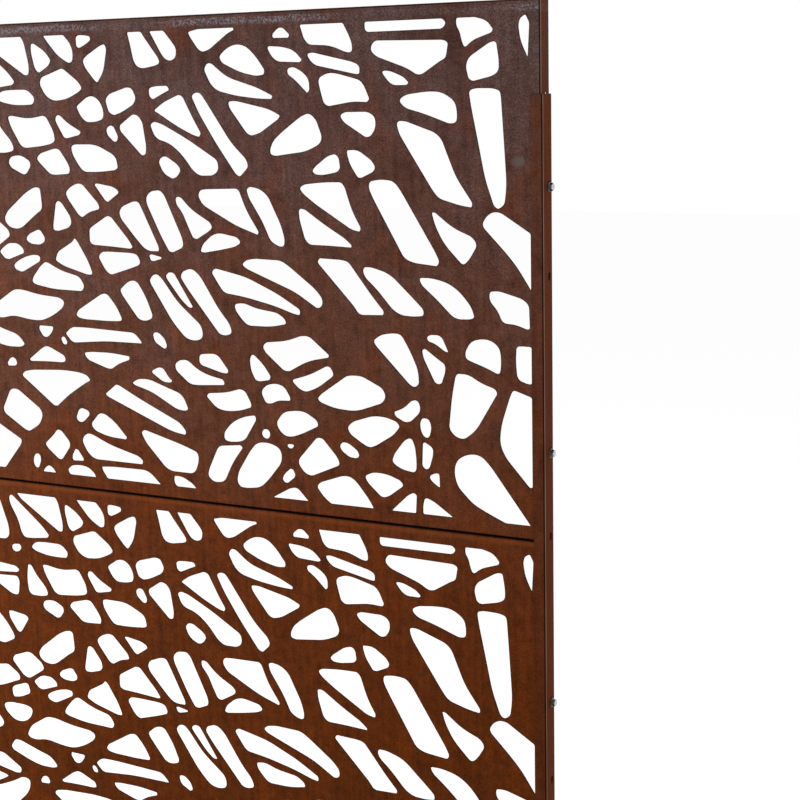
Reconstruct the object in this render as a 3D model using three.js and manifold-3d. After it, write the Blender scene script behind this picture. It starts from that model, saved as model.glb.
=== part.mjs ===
// Free-standing room screen. Two equal folded steel trays, one above the other, have an
// organic cell pattern cut through their faces. Their ends sit in two folded channel posts,
// bolted through the sides, and each post is bolted to the upright tab of a flat foot.
// Millimetres, Z up, the front faces -Y, the floor is Z = 0.
import * as THREE from "three";
import { mergeVertices } from "three/addons/utils/BufferGeometryUtils.js";
import Module from "manifold-3d";

const wasm = await Module();
wasm.setup();

// ---- driving sizes ----
const PANEL_WIDTH = 1219;
const PANEL_HEIGHT = 762;
const PANEL_DEPTH = 31;
const SHEET = 2;
const BEND = 3; // outside radius of every fold
const SEAM_GAP = 2; // open joint between the two panels
const FLOOR_GAP = 84; // floor to the lower panel
const FIT = 0.3; // air between neighbouring pieces

const POST_DEPTH = 36;
const POST_LIP = 17.5; // how far the post laps over the panel, from its outer face
const POST_SIDE_GAP = 1.3; // panel edge to the inside of the post's web
const POST_TOP_DROP = PANEL_HEIGHT / 6; // the posts end this far below the top edge

const HOLE_PITCH = PANEL_HEIGHT / 6; // holes along the panels' side returns
const SLOTTED_PITCHES = [2, 3, 5, 6]; // pitches below a panel's top with a slot in the post
const BOLTED_PITCHES = [2, 5]; // the slots that hold a bolt
const SLOT_WIDTH = 7;
const SLOT_LENGTH = 12;
const SLOT_RISE = 2.2; // slot centre above the bolt in it
const FIXING_DEPTH = 23; // bolt centre behind the front of the post
const SEAM_BOLT_INSET = 101; // panel's end to the first of the bolts along the seam
const SEAM_BOLT_COUNT = 4;
const SEAM_BOLT_DEPTH = 17; // seam bolt centre behind the panel's front

const FOOT_DEPTH = 420;
const FOOT_WIDTH = 84;
const FOOT_PLATE = 6;
const FOOT_CORNER = 12;
const FOOT_MARGIN = 3; // the plate stands out this far beyond the post
const TAB_PLATE = 4;
const TAB_DEPTH = 28;
const TAB_HEIGHT = 72;
const FOOT_BOLT_HEIGHTS = [TAB_HEIGHT - 44, TAB_HEIGHT - 18];

const SMALL = { thread: 6, hex: 10, flange: 14, flangeThick: 1.5, head: 5.5, nut: 5, bore: 7 };
const LARGE = { thread: 8, hex: 13, flange: 17, flangeThick: 1.8, head: 6.5, nut: 6.5, bore: 9 };
const THREAD_SIDES = 8;
const FLANGE_SIDES = 12;
const BORE_SIDES = 8;
const THREAD_END = 2; // thread showing beyond a nut
const WASHER = 16; // spacers round the seam bolts, in the joint between the panels
const WASHER_SIDES = 20;

const ARC_STEPS = 3; // straight pieces per fold
const SLOT_STEPS = 5; // straight pieces per slot end
const CORNER_STEPS = 4; // straight pieces per foot corner
const FOLD_LAP = 1; // how far a fold is drawn into the face it joins
const BOLT_LAP = 0.5; // the same for the parts of a bolt
const SHARP_CORNER = 1.6; // hole corners of a smaller inside angle get two points, not one
const NEARLY_STRAIGHT = 0.05;

// ---- derived places ----
const UPPER_BOTTOM = FLOOR_GAP + PANEL_HEIGHT + SEAM_GAP;
const POST_TOP = UPPER_BOTTOM + PANEL_HEIGHT - POST_TOP_DROP;
const POST_BOTTOM = FOOT_PLATE + FIT;
const POST_FRONT = -POST_DEPTH / 2;
const PANEL_FRONT = POST_FRONT + SHEET + FIT;
const WEB_INSIDE = PANEL_WIDTH / 2 + POST_SIDE_GAP;
const WEB_OUTSIDE = WEB_INSIDE + SHEET;
const FIXING_Y = POST_FRONT + FIXING_DEPTH;

// ---- the cut pattern ----
// Every hole is a loop of corner points in millimetres: first how far left of the panel's right
// edge, then how far below its top edge. The drawing is for a 1219 x 762 panel, and stretches to
// fill what the margins leave of any other. Holes at the sides and ends stop on one common line.
// The cut runs just inside the drawn lines, and its corners are rounded.
const CUT_INSET = 0.85; // drawn line to cut edge, but none along the border lines
const ROUND = 15; // rounding of the free corners
const BORDER_ROUND = 3; // tighter rounding where a hole meets the border line
const MARGIN = { right: 16.5, left: 17.5, top: 21.5, bottom: 20.5 }; // solid rim on the panel
const HOLES = [
  // top row, right to left
  [26, 21, 31.5, 24.5, 34, 34, 31, 55, 18.8, 81, 17, 50, 17, 29, 21, 21],
  [126, 21, 94, 21, 79, 25, 69, 38, 72, 43, 100, 52, 114, 64, 119, 50, 121, 40, 126.5, 31],
  [269, 21, 145, 21, 139, 27, 146, 35.5, 269, 36],
  [375.5, 21, 302, 21, 292, 40, 288, 52, 288.5, 63.5, 300, 63, 325, 52.5, 361, 50.5, 369, 42],
  [422, 39, 422, 32, 411, 23, 402, 23.5, 391, 34, 393, 39.5],
  [571, 24, 556, 21, 487, 21, 486, 25, 497, 29, 532, 52.5, 545, 55.5, 553, 51, 566, 33],
  [640.5, 21, 612, 21, 596, 40, 590.5, 48, 592, 62, 603, 67.5, 614, 64, 621, 55],
  [682, 21, 654, 21, 648, 30, 625, 60, 621.5, 69, 630, 73, 655, 77, 667, 74, 673, 64, 678, 38],
  [781, 21.5, 765, 21.5, 751, 24, 750, 31, 762, 38, 774, 43, 780.5, 40],
  [845, 21, 802, 21, 790, 34, 785.5, 48, 788, 63, 797, 65.5, 818, 53.5, 838, 30],
  [871.5, 45, 870, 31.5, 863, 31.5, 842, 44, 830, 59, 836, 68, 858, 80, 866, 71],
  [973, 21, 887, 21, 882, 30, 875, 65, 876.5, 81, 886, 82.5, 910, 67, 965, 31],
  [991, 31, 987, 25, 981, 25, 919, 75.5, 906, 91, 912, 96.5,
    945, 100.5, 962, 101, 969, 92, 974, 70, 989, 43],
  [1048, 21, 1018, 21, 1010, 33, 994, 82, 994, 100, 1003, 108, 1030, 109, 1040, 84, 1050, 48],
  [1146, 21, 1066, 21, 1060, 36, 1066, 54, 1080, 54, 1108, 38],
  [1202, 21, 1182, 21, 1112, 51, 1080, 70, 1070, 88,
    1084, 108, 1106, 112, 1140, 96, 1172, 62, 1202, 36],
  // second row
  [113, 86, 108, 74, 76, 54.5, 65, 53, 61, 80, 61.5, 95, 72, 101.5, 102, 108, 109, 104],
  [255, 46.5, 145, 49, 137, 53, 141, 75, 150, 79, 184, 100, 202, 88, 252, 70, 262, 60],
  [246, 89, 230, 89, 208, 98, 199, 107, 203, 111, 225, 111, 234, 105],
  [349, 97, 330, 89.5, 315, 91, 278, 101, 271, 109, 262.5, 129,
    267, 134, 290, 132.5, 332, 139, 340, 134, 345, 115],
  [366, 62, 355, 60, 288, 75.5, 277, 81, 277.5, 94, 285, 94, 351, 80, 360, 73],
  [399, 82, 387, 79.5, 371, 88, 361, 99, 361, 115, 366, 120, 385, 101, 399, 91],
  [434, 48.5, 405, 50.5, 385, 56, 371, 71, 376, 75, 415, 73, 425, 65],
  [517, 62, 503, 50, 486, 44, 468, 47, 452, 61, 436, 83, 437, 91, 452, 93, 480, 87, 512, 72],
  [545, 80, 538, 70.5, 529, 71, 503, 92, 450, 108.5, 424, 121,
    426, 127, 450, 126, 490, 121, 522, 113, 534, 103],
  [648, 105, 632, 102.5, 611, 102.5, 606.5, 110, 617, 114, 640, 124.5, 647, 119],
  [770.5, 61, 763, 54, 735, 39, 724, 36, 720.5, 45, 729, 80, 743, 97.5, 750, 92, 766, 73],
  [858.5, 96, 855, 85, 823, 75, 810, 70.5, 780, 92.5,
    772, 104, 780, 110, 804, 121, 832, 123.5, 848, 115],
  [951, 116.5, 939, 105, 920, 103, 882, 103, 868, 117, 872, 128, 890, 129, 915, 128.5, 940, 123],
  [993, 118, 986, 113.5, 973, 112.5, 969, 119, 974, 127, 985, 130, 992, 126],
  [1202, 58, 1186, 72, 1166, 110, 1158, 150, 1164, 196, 1178, 216, 1202, 220],
  // third row
  [109, 119, 97, 116, 72, 116.5, 60, 120, 58.5, 130, 54, 205, 51.5, 250,
    55, 278, 66, 285, 73, 280, 86, 242, 96, 190, 106, 140],
  [219, 131, 206, 123, 172, 119, 148, 120, 128, 134,
    125, 150, 126, 164, 138, 166, 180, 150.5, 208, 143],
  [223, 160, 208, 159.5, 160, 176.5, 150, 186, 129, 239, 104, 275,
    105, 283, 125, 280, 158, 270.5, 168, 258, 200, 208, 219, 178],
  [314.5, 151, 305, 146, 266, 146, 254, 154, 254, 171, 263, 182.5, 272, 184, 308, 161.5],
  [434, 199, 428, 187, 415, 176, 380, 152, 364, 146, 352, 156,
    343, 181, 345, 190, 352, 195.5, 372, 204, 425, 210.5, 434, 208],
  [505, 128, 490, 127, 432, 140, 412, 150, 416, 156, 450, 177, 466, 180.5, 474, 176, 502, 139],
  [570, 119, 562, 113.5, 552, 114, 545, 123, 500, 190, 475, 214,
    471, 226, 488, 242, 496, 238, 530, 190, 558, 145],
  [641, 140.5, 622, 127.5, 592, 116, 584, 119, 565, 156,
    553.5, 175, 557, 182, 569, 179, 597, 166, 633, 144.5],
  [649, 161, 640, 156, 625, 160, 580, 183, 538, 208.5, 526, 216, 525, 232,
    536, 240, 562, 240.5, 574, 232, 592, 208, 615, 190, 640, 184],
  [707, 162, 680, 144.5, 670, 146, 661, 156, 656, 195, 658, 208, 667, 210, 690, 187, 706, 171],
  [731.5, 122, 723, 113, 688, 103, 677, 105, 670, 121, 676, 131, 700, 143, 716, 147.5, 726, 142],
  [733, 167, 726, 161.5, 717, 162, 708.5, 179, 711, 187.5, 719, 188.5, 731.5, 177],
  [789, 132, 781, 126.5, 765, 116, 751, 115.5, 739, 125,
    733.5, 140, 735, 152.5, 750, 157, 770, 157.5, 780, 149],
  [832.5, 152, 829, 144.5, 821, 144, 806, 157, 780, 171, 784, 177, 808, 182, 816, 182, 829, 160],
  [929, 145, 918, 144, 885, 149.5, 855, 144.5, 848, 147, 835, 170,
    833, 186, 842, 191, 862, 194.5, 897, 197.5, 906, 193, 924, 162],
  [960, 147.5, 951, 148, 942, 164, 922, 186, 917, 201, 935, 205, 962, 205, 965, 175],
  [1066, 148, 1020, 151, 986, 154, 977, 161, 984, 167, 1020, 170, 1062, 171],
  [1034, 174.5, 984, 172, 979.5, 182, 984, 209, 1000, 209, 1033, 190],
  [1106, 130, 1092, 125, 1070, 122, 1056, 128, 1062, 137, 1084, 140, 1102, 138],
  [1147, 122, 1131, 118, 1118, 130, 1128, 145, 1142, 141],
  [1146, 168, 1130, 158, 1092, 152, 1083, 162, 1078, 178, 1050, 198,
    1048, 214, 1066, 222, 1104, 232, 1132, 228, 1144, 206],
  // fourth row
  [269, 246, 250, 242.5, 228, 244.5, 217, 258, 163, 347, 157, 360,
    161, 368, 200, 364, 215, 358, 263, 272, 270, 257],
  [304, 201, 285, 200, 262, 216, 256, 226, 260, 233, 280, 242, 287, 242, 300, 222, 304, 207],
  [364, 232, 358, 225, 336, 209, 322, 206, 316, 212, 314, 228, 320, 234, 345, 238.5, 358, 237.5],
  [387, 257, 378, 251, 345, 247.5, 314, 247, 308, 254, 297, 289,
    283, 314, 285, 321, 300, 318, 360, 281, 380, 266],
  [389, 287, 378, 287, 345, 309.5, 310, 330, 299, 340,
    300, 344.5, 340, 342.5, 372, 342, 380, 334, 388.5, 303],
  [479, 259, 472, 255, 455, 257.5, 440, 268, 431, 287, 418, 314,
    413, 335, 415, 346, 425, 346, 440, 338.5, 452, 310, 476, 272],
  [567, 271, 563, 261, 550, 259.3, 495, 258, 490, 262,
    479, 291, 458, 324, 461, 329.5, 500, 316, 559, 285],
  [637, 218, 630, 210, 620, 209.5, 600, 222, 593.5, 231, 601, 241.5, 611, 246, 629, 237],
  [609, 272, 598, 271.5, 578, 292, 546, 310, 541, 319, 548, 325,
    572, 338.5, 580, 336.5, 590, 315, 597, 298, 608.5, 284],
  [664.5, 273, 655, 263.5, 636, 261.5, 628, 269, 598, 337,
    596.5, 351, 618, 360, 626, 359, 640, 335, 664, 284],
  [718.5, 298, 712, 288.5, 690, 280, 678, 279.5, 671, 293,
    644, 350, 643, 359, 669, 359.5, 688, 340, 715, 309],
  [764, 254, 757, 252, 725, 257, 711, 266, 738, 283.5, 744, 280],
  [804, 193, 795, 190.5, 754, 190.5, 722, 206, 715, 213, 712.5, 229,
    720, 232.5, 750, 235.5, 782, 235.5, 792, 224, 803, 206],
  [822, 268, 812, 258.5, 797, 252.5, 786, 253, 756, 284,
    753, 294, 775, 299, 790, 308.5, 798, 304.5, 818, 278],
  [843, 284, 836, 280, 829, 284, 813, 306, 811.5, 318, 818, 325, 840, 331, 851, 330, 851.5, 322],
  [876, 214, 868, 205, 838, 197, 827, 197.5, 812, 218.5,
    807, 229, 809, 238.5, 840, 240.5, 850, 239, 869, 221.5],
  [934.5, 220, 929, 210.5, 915, 207.5, 903, 208.5, 887.5, 217.5,
    886.5, 226, 896, 238.5, 904, 240.5, 929, 229],
  [951, 310, 944, 299, 903, 268, 885, 259.5, 871, 259, 869.5, 280,
    869, 296, 882, 303.5, 913, 326, 925, 329.5, 941, 327, 950, 318],
  [1012, 240, 1003, 238.5, 972, 243, 965.5, 249, 982, 273, 989, 279.5, 996, 276, 1011, 253],
  [1062, 262, 1056, 238, 1046, 231, 1037, 240, 1016, 261, 1003, 281,
    1000, 291, 1015, 299, 1028, 304.5, 1048, 300, 1059, 286],
  [1136, 252, 1118, 247, 1086, 242, 1077, 250, 1078, 272,
    1070, 294, 1086, 305, 1112, 303, 1130, 288, 1139, 270],
  [1202, 236, 1174, 232, 1156, 242, 1152, 264, 1160, 286, 1180, 297, 1202, 290],
  // fifth row
  [91, 304, 84, 293, 74, 287, 62, 287.5, 17, 316, 17, 399, 38, 366, 54, 347, 89, 311],
  [170, 289, 163, 289, 135, 311, 105, 323, 97, 335, 110, 356, 121, 366.5, 152, 334, 165, 308],
  [568, 357, 563, 345, 545, 330, 530, 326, 498, 332, 490, 341, 502, 348, 530, 354, 561, 359],
  [665.5, 364.5, 659, 362.5, 640, 366.5, 639.5, 370.5, 656, 375, 662, 374.5],
  [779.5, 342, 779, 325, 770, 319.5, 742, 303.5, 733, 304.5, 700, 342,
    693, 354, 700, 356.5, 740, 353.5, 772, 352, 779, 348],
  [911, 346, 903, 336, 884, 328.5, 877, 328.5, 868, 341, 869, 349, 880, 354.5, 900, 353.5],
  [968, 367, 961, 361, 947, 351.5, 926, 351.5, 915, 360, 913, 368.5, 948, 380.5, 957, 379],
  [1013, 333, 1007, 322.5, 975, 311.5, 966, 313, 944, 329, 939.5, 340, 949, 346.5, 977, 364, 989, 360],
  [1092, 372, 1084, 356, 1058, 347, 1022, 341, 1013, 347, 997, 358,
    996, 369, 1010, 374, 1034, 384, 1056, 390, 1078, 386],
  [1123, 322, 1098, 319, 1072, 309, 1059, 318, 1062, 331, 1092, 342, 1106, 362, 1119, 365, 1127, 344],
  [1202, 306, 1176, 312, 1157, 302, 1145, 306, 1136, 322, 1143, 346, 1164, 355, 1202, 348],
  [1202, 368, 1196, 370, 1166, 404, 1132, 430, 1126, 446, 1140, 461, 1172, 473, 1202, 468],
  // sixth row
  [82, 409, 81, 400, 66, 398.5, 30, 408.5, 19.5, 417, 18.5, 452,
    24, 453.5, 42, 447, 62, 446.5, 68, 430, 80, 416],
  [193, 384, 172, 383.5, 145, 389.5, 125, 403, 108, 424,
    103, 440, 112, 443, 136, 444, 163, 417, 188, 396],
  [284, 378, 281, 371, 268, 371, 238, 379.5, 195, 420, 184, 431,
    184, 441, 200, 443, 222, 442, 236, 434, 262, 404, 280, 388],
  [360, 366, 356, 360, 318, 361.5, 306, 364, 268, 414,
    249, 436, 250, 443, 292, 444.5, 300, 432, 358, 370],
  [494, 375, 486, 367.5, 470, 364, 422, 365.5, 408, 374, 364, 407,
    352, 421, 352, 433, 362, 438.5, 400, 414.5, 484, 382],
  [550, 388, 542, 381, 522, 385, 485, 393, 430, 417, 391, 440,
    392, 450, 404, 448, 440, 436.5, 490, 425.5, 528, 420.5, 537, 408],
  [608, 398, 604, 389, 585, 381.5, 569, 394, 537, 446,
    519, 467, 514, 484, 530, 488, 540, 486, 596, 416],
  [636, 397, 630, 390.5, 618.5, 390, 584, 446, 594, 447, 608, 435, 633, 403],
  [667, 405, 661, 396, 650, 393.5, 641, 401, 614, 437, 570, 474,
    569, 495, 588, 499.5, 604, 495.5, 627, 471, 665, 411],
  [726, 422, 708, 407, 691, 405, 674, 431, 661, 466, 679, 472, 692, 470, 704, 455, 723, 430],
  [765, 370, 757, 361.5, 742, 360.5, 700, 361.5, 686, 363.5,
    678.5, 380, 700, 387.5, 742, 400, 752, 392],
  [851, 376, 846, 364, 815, 347, 809, 339.5, 803, 345,
    783, 378, 775, 400.5, 788, 401, 835, 388, 850, 380],
  [904, 416, 900, 406.5, 884, 388.5, 873, 381, 866, 382, 840, 394.5,
    803, 403, 794, 419, 800, 428.5, 860, 427, 896, 420.5],
  [940, 389, 931, 381.5, 912, 373, 893, 369.5, 881, 371.5, 881, 381, 912, 396.5, 922, 401, 936, 397],
  [1019, 387, 1012, 381, 985, 371.5, 979, 374, 974, 391, 1000, 402.5, 1015, 404.5, 1018, 400],
  [1041, 420, 1024, 414, 990, 414, 972, 419, 978, 437, 995, 449.5, 1018, 450.5, 1038, 433],
  [1152, 371, 1130, 379, 1104, 390, 1088, 403, 1092, 413, 1112, 414, 1136, 397, 1158, 380],
  // seventh row
  [42.5, 500, 41, 477, 30, 476, 17, 476.5, 17, 532, 24, 532, 40, 526.5],
  [121, 490, 112, 474, 96, 469, 80, 469.5, 65, 480, 62.5, 500, 65, 523, 86, 513, 108, 505.5, 120, 501],
  [182, 471, 175, 467, 157, 466.5, 145, 493, 152, 492.5, 168, 481.5, 180, 478],
  [190, 491, 184, 487.5, 160, 504.5, 151, 510, 151, 521, 158, 541, 169, 541, 188, 503],
  [269, 480, 256, 471, 236, 467.5, 222, 468.5, 208, 492, 195, 521,
    194, 543, 203, 549, 211, 545, 262, 493, 268, 486],
  [463, 501, 456, 493, 418, 489, 392, 479.5, 378, 479.5, 344, 507,
    345, 512, 382, 519.5, 416, 538, 426, 537, 458, 510],
  [510, 436, 492, 433, 470, 441, 432, 446, 419, 455, 416, 464, 445, 470, 488, 470, 500, 458, 509, 446],
  [667, 493, 664, 488, 654, 487.5, 642, 498, 638, 511, 645, 516, 664, 505],
  [817.5, 467, 812, 458.5, 763, 430, 751, 428.5, 733, 449, 721, 474, 750, 475.5, 800, 474.5, 813, 472],
  [842, 499, 828, 487, 800, 486.5, 702, 490.5, 692, 500, 685, 509, 760, 509, 828, 515, 838, 504],
  [852.5, 508, 847, 503.5, 842, 505, 837, 513, 839, 518.5, 848, 519],
  [896.5, 495, 895, 487.5, 863, 488, 867, 498, 877, 508, 888, 508.5],
  [992, 472, 982, 453, 943, 429, 925, 428.5, 888, 436, 848, 439, 836.5, 446,
    842, 457, 862, 470.5, 888, 481, 912, 480.5, 948, 474.5, 972, 480, 986, 478],
  [1032, 501, 1021, 485.5, 1008, 485, 962, 499.5, 940, 505,
    925, 523, 938, 528, 966, 528.5, 990, 522.5, 1028, 508.5],
  [1108, 452, 1094, 438, 1066, 434, 1050, 444, 1042, 455, 1044, 464, 1058, 471.5, 1072, 475, 1096, 472],
  [1134, 483, 1112, 477, 1098, 489, 1095, 499, 1104, 507, 1124, 505, 1138, 494],
  [1202, 486, 1176, 489, 1156, 494, 1149, 507, 1160, 523, 1182, 534, 1202, 534],
  // eighth row
  [415, 550, 380, 539.5, 350, 524, 343, 525, 335.5, 538, 366, 560, 388, 568.5, 400, 564],
  [487, 522, 483, 514, 477, 514, 461, 528, 448, 547, 451, 553.5, 470, 557, 478, 555.5, 486, 539],
  [581, 532, 580, 519, 565, 517, 545, 516, 525, 542, 527, 548, 538, 548, 577, 537.5],
  [628, 538, 618, 530.5, 602, 528.5, 584, 543, 565, 551,
    535, 557, 533, 567, 585, 570.5, 600, 570, 626, 549],
  [677, 553, 659, 544.5, 649, 545, 639, 560, 631, 566, 638, 570, 652, 569.5],
  [808, 529, 790, 526.5, 750, 526, 713, 530, 714, 537, 735, 544, 752, 555, 763, 553.5, 800, 541.5],
  [922, 547, 893, 526, 882, 521.5, 873, 524, 845, 536.5, 843, 547, 852, 549.5, 885, 549.5, 918, 551],
  [970, 556, 963, 547, 955, 544.5, 949, 548, 946, 556, 951, 561, 968, 562],
  [1086, 534, 1076, 521.5, 1053, 514, 1010, 540, 1012, 551, 1024, 553.5, 1083, 542.5],
  [1142, 524, 1128, 519, 1109, 524, 1105, 535, 1124, 547, 1138, 568,
    1134, 612, 1146, 633, 1160, 627, 1164, 590, 1157, 550],
  // ninth row
  [48, 543, 43, 541, 17, 549.5, 17, 684, 22, 685, 60, 642, 68.5, 622, 66, 595, 52, 552],
  [137, 527, 133, 522, 115, 522, 96, 533.5, 73, 541, 69, 548,
    104, 606, 124, 621.5, 138, 618.5, 149, 607, 143, 556],
  [196, 601, 192, 592.5, 180, 592.5, 175, 605, 178, 619, 183, 624.5, 190, 622, 195, 613],
  [239, 587, 222, 580.5, 208, 567, 197, 566, 192.5, 578, 195, 587, 210, 601, 220, 603, 236, 595],
  [369, 576, 362, 568.5, 316, 537, 306, 535.5, 290, 535.5, 255, 552,
    249, 565, 256, 576, 302, 592.5, 340, 590, 364, 582],
  [470, 572, 458, 560, 440, 556.5, 425, 560.5, 415, 577, 415, 584, 438, 585, 450, 591, 461, 591],
  [571, 587, 566, 580.5, 530, 577, 506, 569.5, 496, 573,
    486, 592, 486, 599, 510, 607, 535, 609, 552, 605.5],
  [714, 574, 700, 566, 678, 565, 648, 575.5, 614, 586,
    604, 611, 612, 614.5, 628, 613, 676, 587, 708, 578.5],
  [770, 597, 745, 578, 738, 579.5, 700, 598.5, 622, 633.5, 611, 647, 613, 654.5, 640, 650.5, 762, 602],
  [941, 576, 934, 568, 915, 564, 850, 560.5, 818, 562.5, 802, 566.5,
    794, 576, 804, 580, 840, 602, 868, 624.5, 876, 624.5],
  [1122, 560, 1108, 549, 1082, 552, 1048, 558.5, 1041, 562, 1060, 573, 1080, 581, 1098, 585, 1118, 576],
  [1202, 552, 1180, 548, 1175, 562, 1182, 600, 1176, 638, 1186, 651, 1202, 648],
  // tenth row
  [194, 667, 192, 631, 187, 629, 173, 637, 174, 650, 180, 669, 187, 673],
  [244, 664, 240, 652, 222, 629, 209, 623, 203, 638, 201, 660, 202, 680, 226, 676, 238, 670],
  [319, 617, 308, 607, 272, 595, 250, 596, 233, 601.5, 227, 609,
    238, 623, 270, 643, 281, 647, 292, 642, 314, 628],
  [333, 647, 327, 640, 316, 641, 300, 652, 297, 661, 303, 665.5, 316, 665, 330, 655],
  [410, 679, 372, 637, 361, 637, 336, 665, 330.5, 678, 384, 701, 396, 697],
  [426, 653.5, 421, 651, 411.5, 651.5, 412.5, 657, 419, 660.5, 424, 658.5],
  [444, 620, 430, 600.5, 404, 597, 390, 598, 370, 609.5,
    366, 619.5, 398, 635, 415, 641, 428, 641, 439, 632],
  [471, 637, 466, 630.5, 457, 631, 453, 638, 456, 646, 463, 648.5, 470, 644],
  [541, 656, 541, 643, 524, 624, 500, 613.5, 480, 610, 478, 618, 500, 652, 512, 657, 530, 658.5],
  [702, 655, 693, 650, 620, 669.5, 590, 680, 590, 696, 599, 717.5, 652, 717, 694, 672],
  [803, 650, 784, 629.5, 772, 629, 752, 641, 728, 667, 732, 671.5, 768, 669.5, 795, 661],
  [832, 641, 826, 627, 818, 622.5, 804, 626.5, 801, 634, 814, 646.5, 822, 649.5, 829, 647],
  [987, 636, 969, 603, 962, 599.5, 950, 599.5, 904, 631,
    900, 642, 908, 659, 933, 673.5, 942, 671, 984, 645],
  [1118, 606, 1104, 593, 1090, 590, 1062, 581.5, 1030, 568, 1012, 557.5, 1000, 557,
    992, 562, 994, 577, 1003, 591, 1022, 608, 1046, 634, 1076, 640, 1104, 630],
  [1126, 653, 1098, 648, 1062, 658, 1053, 672, 1060, 689, 1078, 693, 1112, 676],
  [1202, 664, 1172, 663, 1144, 652, 1131, 674, 1134, 693, 1156, 702, 1202, 688],
  // bottom row
  [142, 672, 138, 653, 120, 641.5, 98, 640.5, 82, 656, 19, 741, 62, 741, 92, 728, 112, 718, 137, 693],
  [183, 682, 176, 676.5, 164, 673.5, 163.5, 698, 168, 697, 179, 689],
  [194, 741, 194, 727, 190, 713, 174, 719, 142, 741],
  [247, 741, 218, 713.5, 208, 708.5, 202, 712, 204, 741],
  [292, 691, 276, 683, 252, 683.5, 229, 692, 223, 700, 250, 720, 262, 723.5, 286, 702],
  [376, 716, 369, 708, 328, 693.5, 314, 693.5, 303, 702, 283, 727, 275, 741, 352, 741, 364, 732],
  [456, 741, 422, 722, 409, 720, 389, 741],
  [437, 709, 433, 701, 421, 690.5, 415, 691.5, 410, 703, 427, 716.5, 434, 715],
  [521, 722, 518, 706, 494, 669, 480, 653.5, 456, 652, 435, 661,
    434, 682, 460, 713, 476, 728, 500, 731.5, 515, 731],
  [576, 718, 573, 706, 560, 680, 552, 665, 510, 660.5, 505, 665, 526, 692, 543, 726, 565, 727.5],
  [642, 728, 640, 722.5, 624, 722.5, 604, 733, 597, 741, 637, 741, 641, 737],
  [786, 720.5, 760, 718.5, 690, 718, 666, 741, 776, 741, 785, 727],
  [823, 681, 819, 671, 808, 665, 798, 667, 764, 681.5,
    708, 696, 699, 703, 701, 711, 800, 710.5, 814, 699],
  [857, 732, 848, 724, 830, 721.5, 812, 724, 800, 734, 797, 741, 853, 741, 856, 737],
  [846, 717, 846, 707, 838, 694, 831, 695.5, 817, 715.5],
  [902, 691, 882, 674, 874, 664, 864, 664.5, 843, 688, 866, 716.5, 874, 717.5, 897, 699],
  [911, 741, 905, 733, 895, 727, 886, 733, 880.5, 741],
  [930, 724, 927, 713, 919, 708.5, 912, 712, 911, 722, 917, 735, 924, 737, 929, 731],
  [1040, 700, 1034, 668, 1018, 651, 949, 688, 952, 697, 990, 741, 1032, 741],
  [1117, 700, 1098, 699, 1068, 712, 1058, 726, 1061, 741, 1130, 741, 1131, 722],
  [1202, 706, 1172, 713, 1152, 720, 1146, 730, 1149, 741, 1202, 741],
];

// ---- helpers ----
function drawnPoints(flat) {
  const points = [];
  for (let i = 0; i < flat.length; i += 2) {
    points.push(new THREE.Vector2(flat[i], flat[i + 1]));
  }
  return points;
}

const FIELD = new THREE.Box2().setFromPoints(HOLES.flatMap(drawnPoints));

function mix(a, b, t) {
  return a.clone().lerp(b, t);
}

function isBorderLine(a, b) {
  const side = a.x === b.x && (a.x === FIELD.min.x || a.x === FIELD.max.x);
  const end = a.y === b.y && (a.y === FIELD.min.y || a.y === FIELD.max.y);
  return side || end;
}

// The corner between two edges after both have moved inwards.
function insetCorner(before, corner, after, inward) {
  const normals = [[before, corner], [corner, after]].map(([from, to]) => {
    const along = to.clone().sub(from).normalize();
    return new THREE.Vector2(-along.y, along.x).multiplyScalar(inward);
  });
  const moves = [
    isBorderLine(before, corner) ? 0 : CUT_INSET,
    isBorderLine(corner, after) ? 0 : CUT_INSET,
  ];
  const [one, two] = normals;
  const turn = one.cross(two);
  if (Math.abs(turn) < NEARLY_STRAIGHT) {
    return corner.clone().addScaledVector(one, (moves[0] + moves[1]) / 2);
  }
  return new THREE.Vector2(
    corner.x + (moves[0] * two.y - moves[1] * one.y) / turn,
    corner.y + (moves[1] * one.x - moves[0] * two.x) / turn,
  );
}

function neighbours(loop, i) {
  return [loop[(i + loop.length - 1) % loop.length], loop[(i + 1) % loop.length]];
}

// A point of the drawing on the panel: X from the panel's middle, Y up from its lower edge.
function onPanel(point) {
  const fieldWidth = PANEL_WIDTH - MARGIN.left - MARGIN.right;
  const fieldHeight = PANEL_HEIGHT - MARGIN.top - MARGIN.bottom;
  const across = (point.x - FIELD.min.x) / (FIELD.max.x - FIELD.min.x);
  const down = (point.y - FIELD.min.y) / (FIELD.max.y - FIELD.min.y);
  return new THREE.Vector2(
    PANEL_WIDTH / 2 - MARGIN.right - across * fieldWidth,
    PANEL_HEIGHT - MARGIN.top - down * fieldHeight,
  );
}

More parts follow.
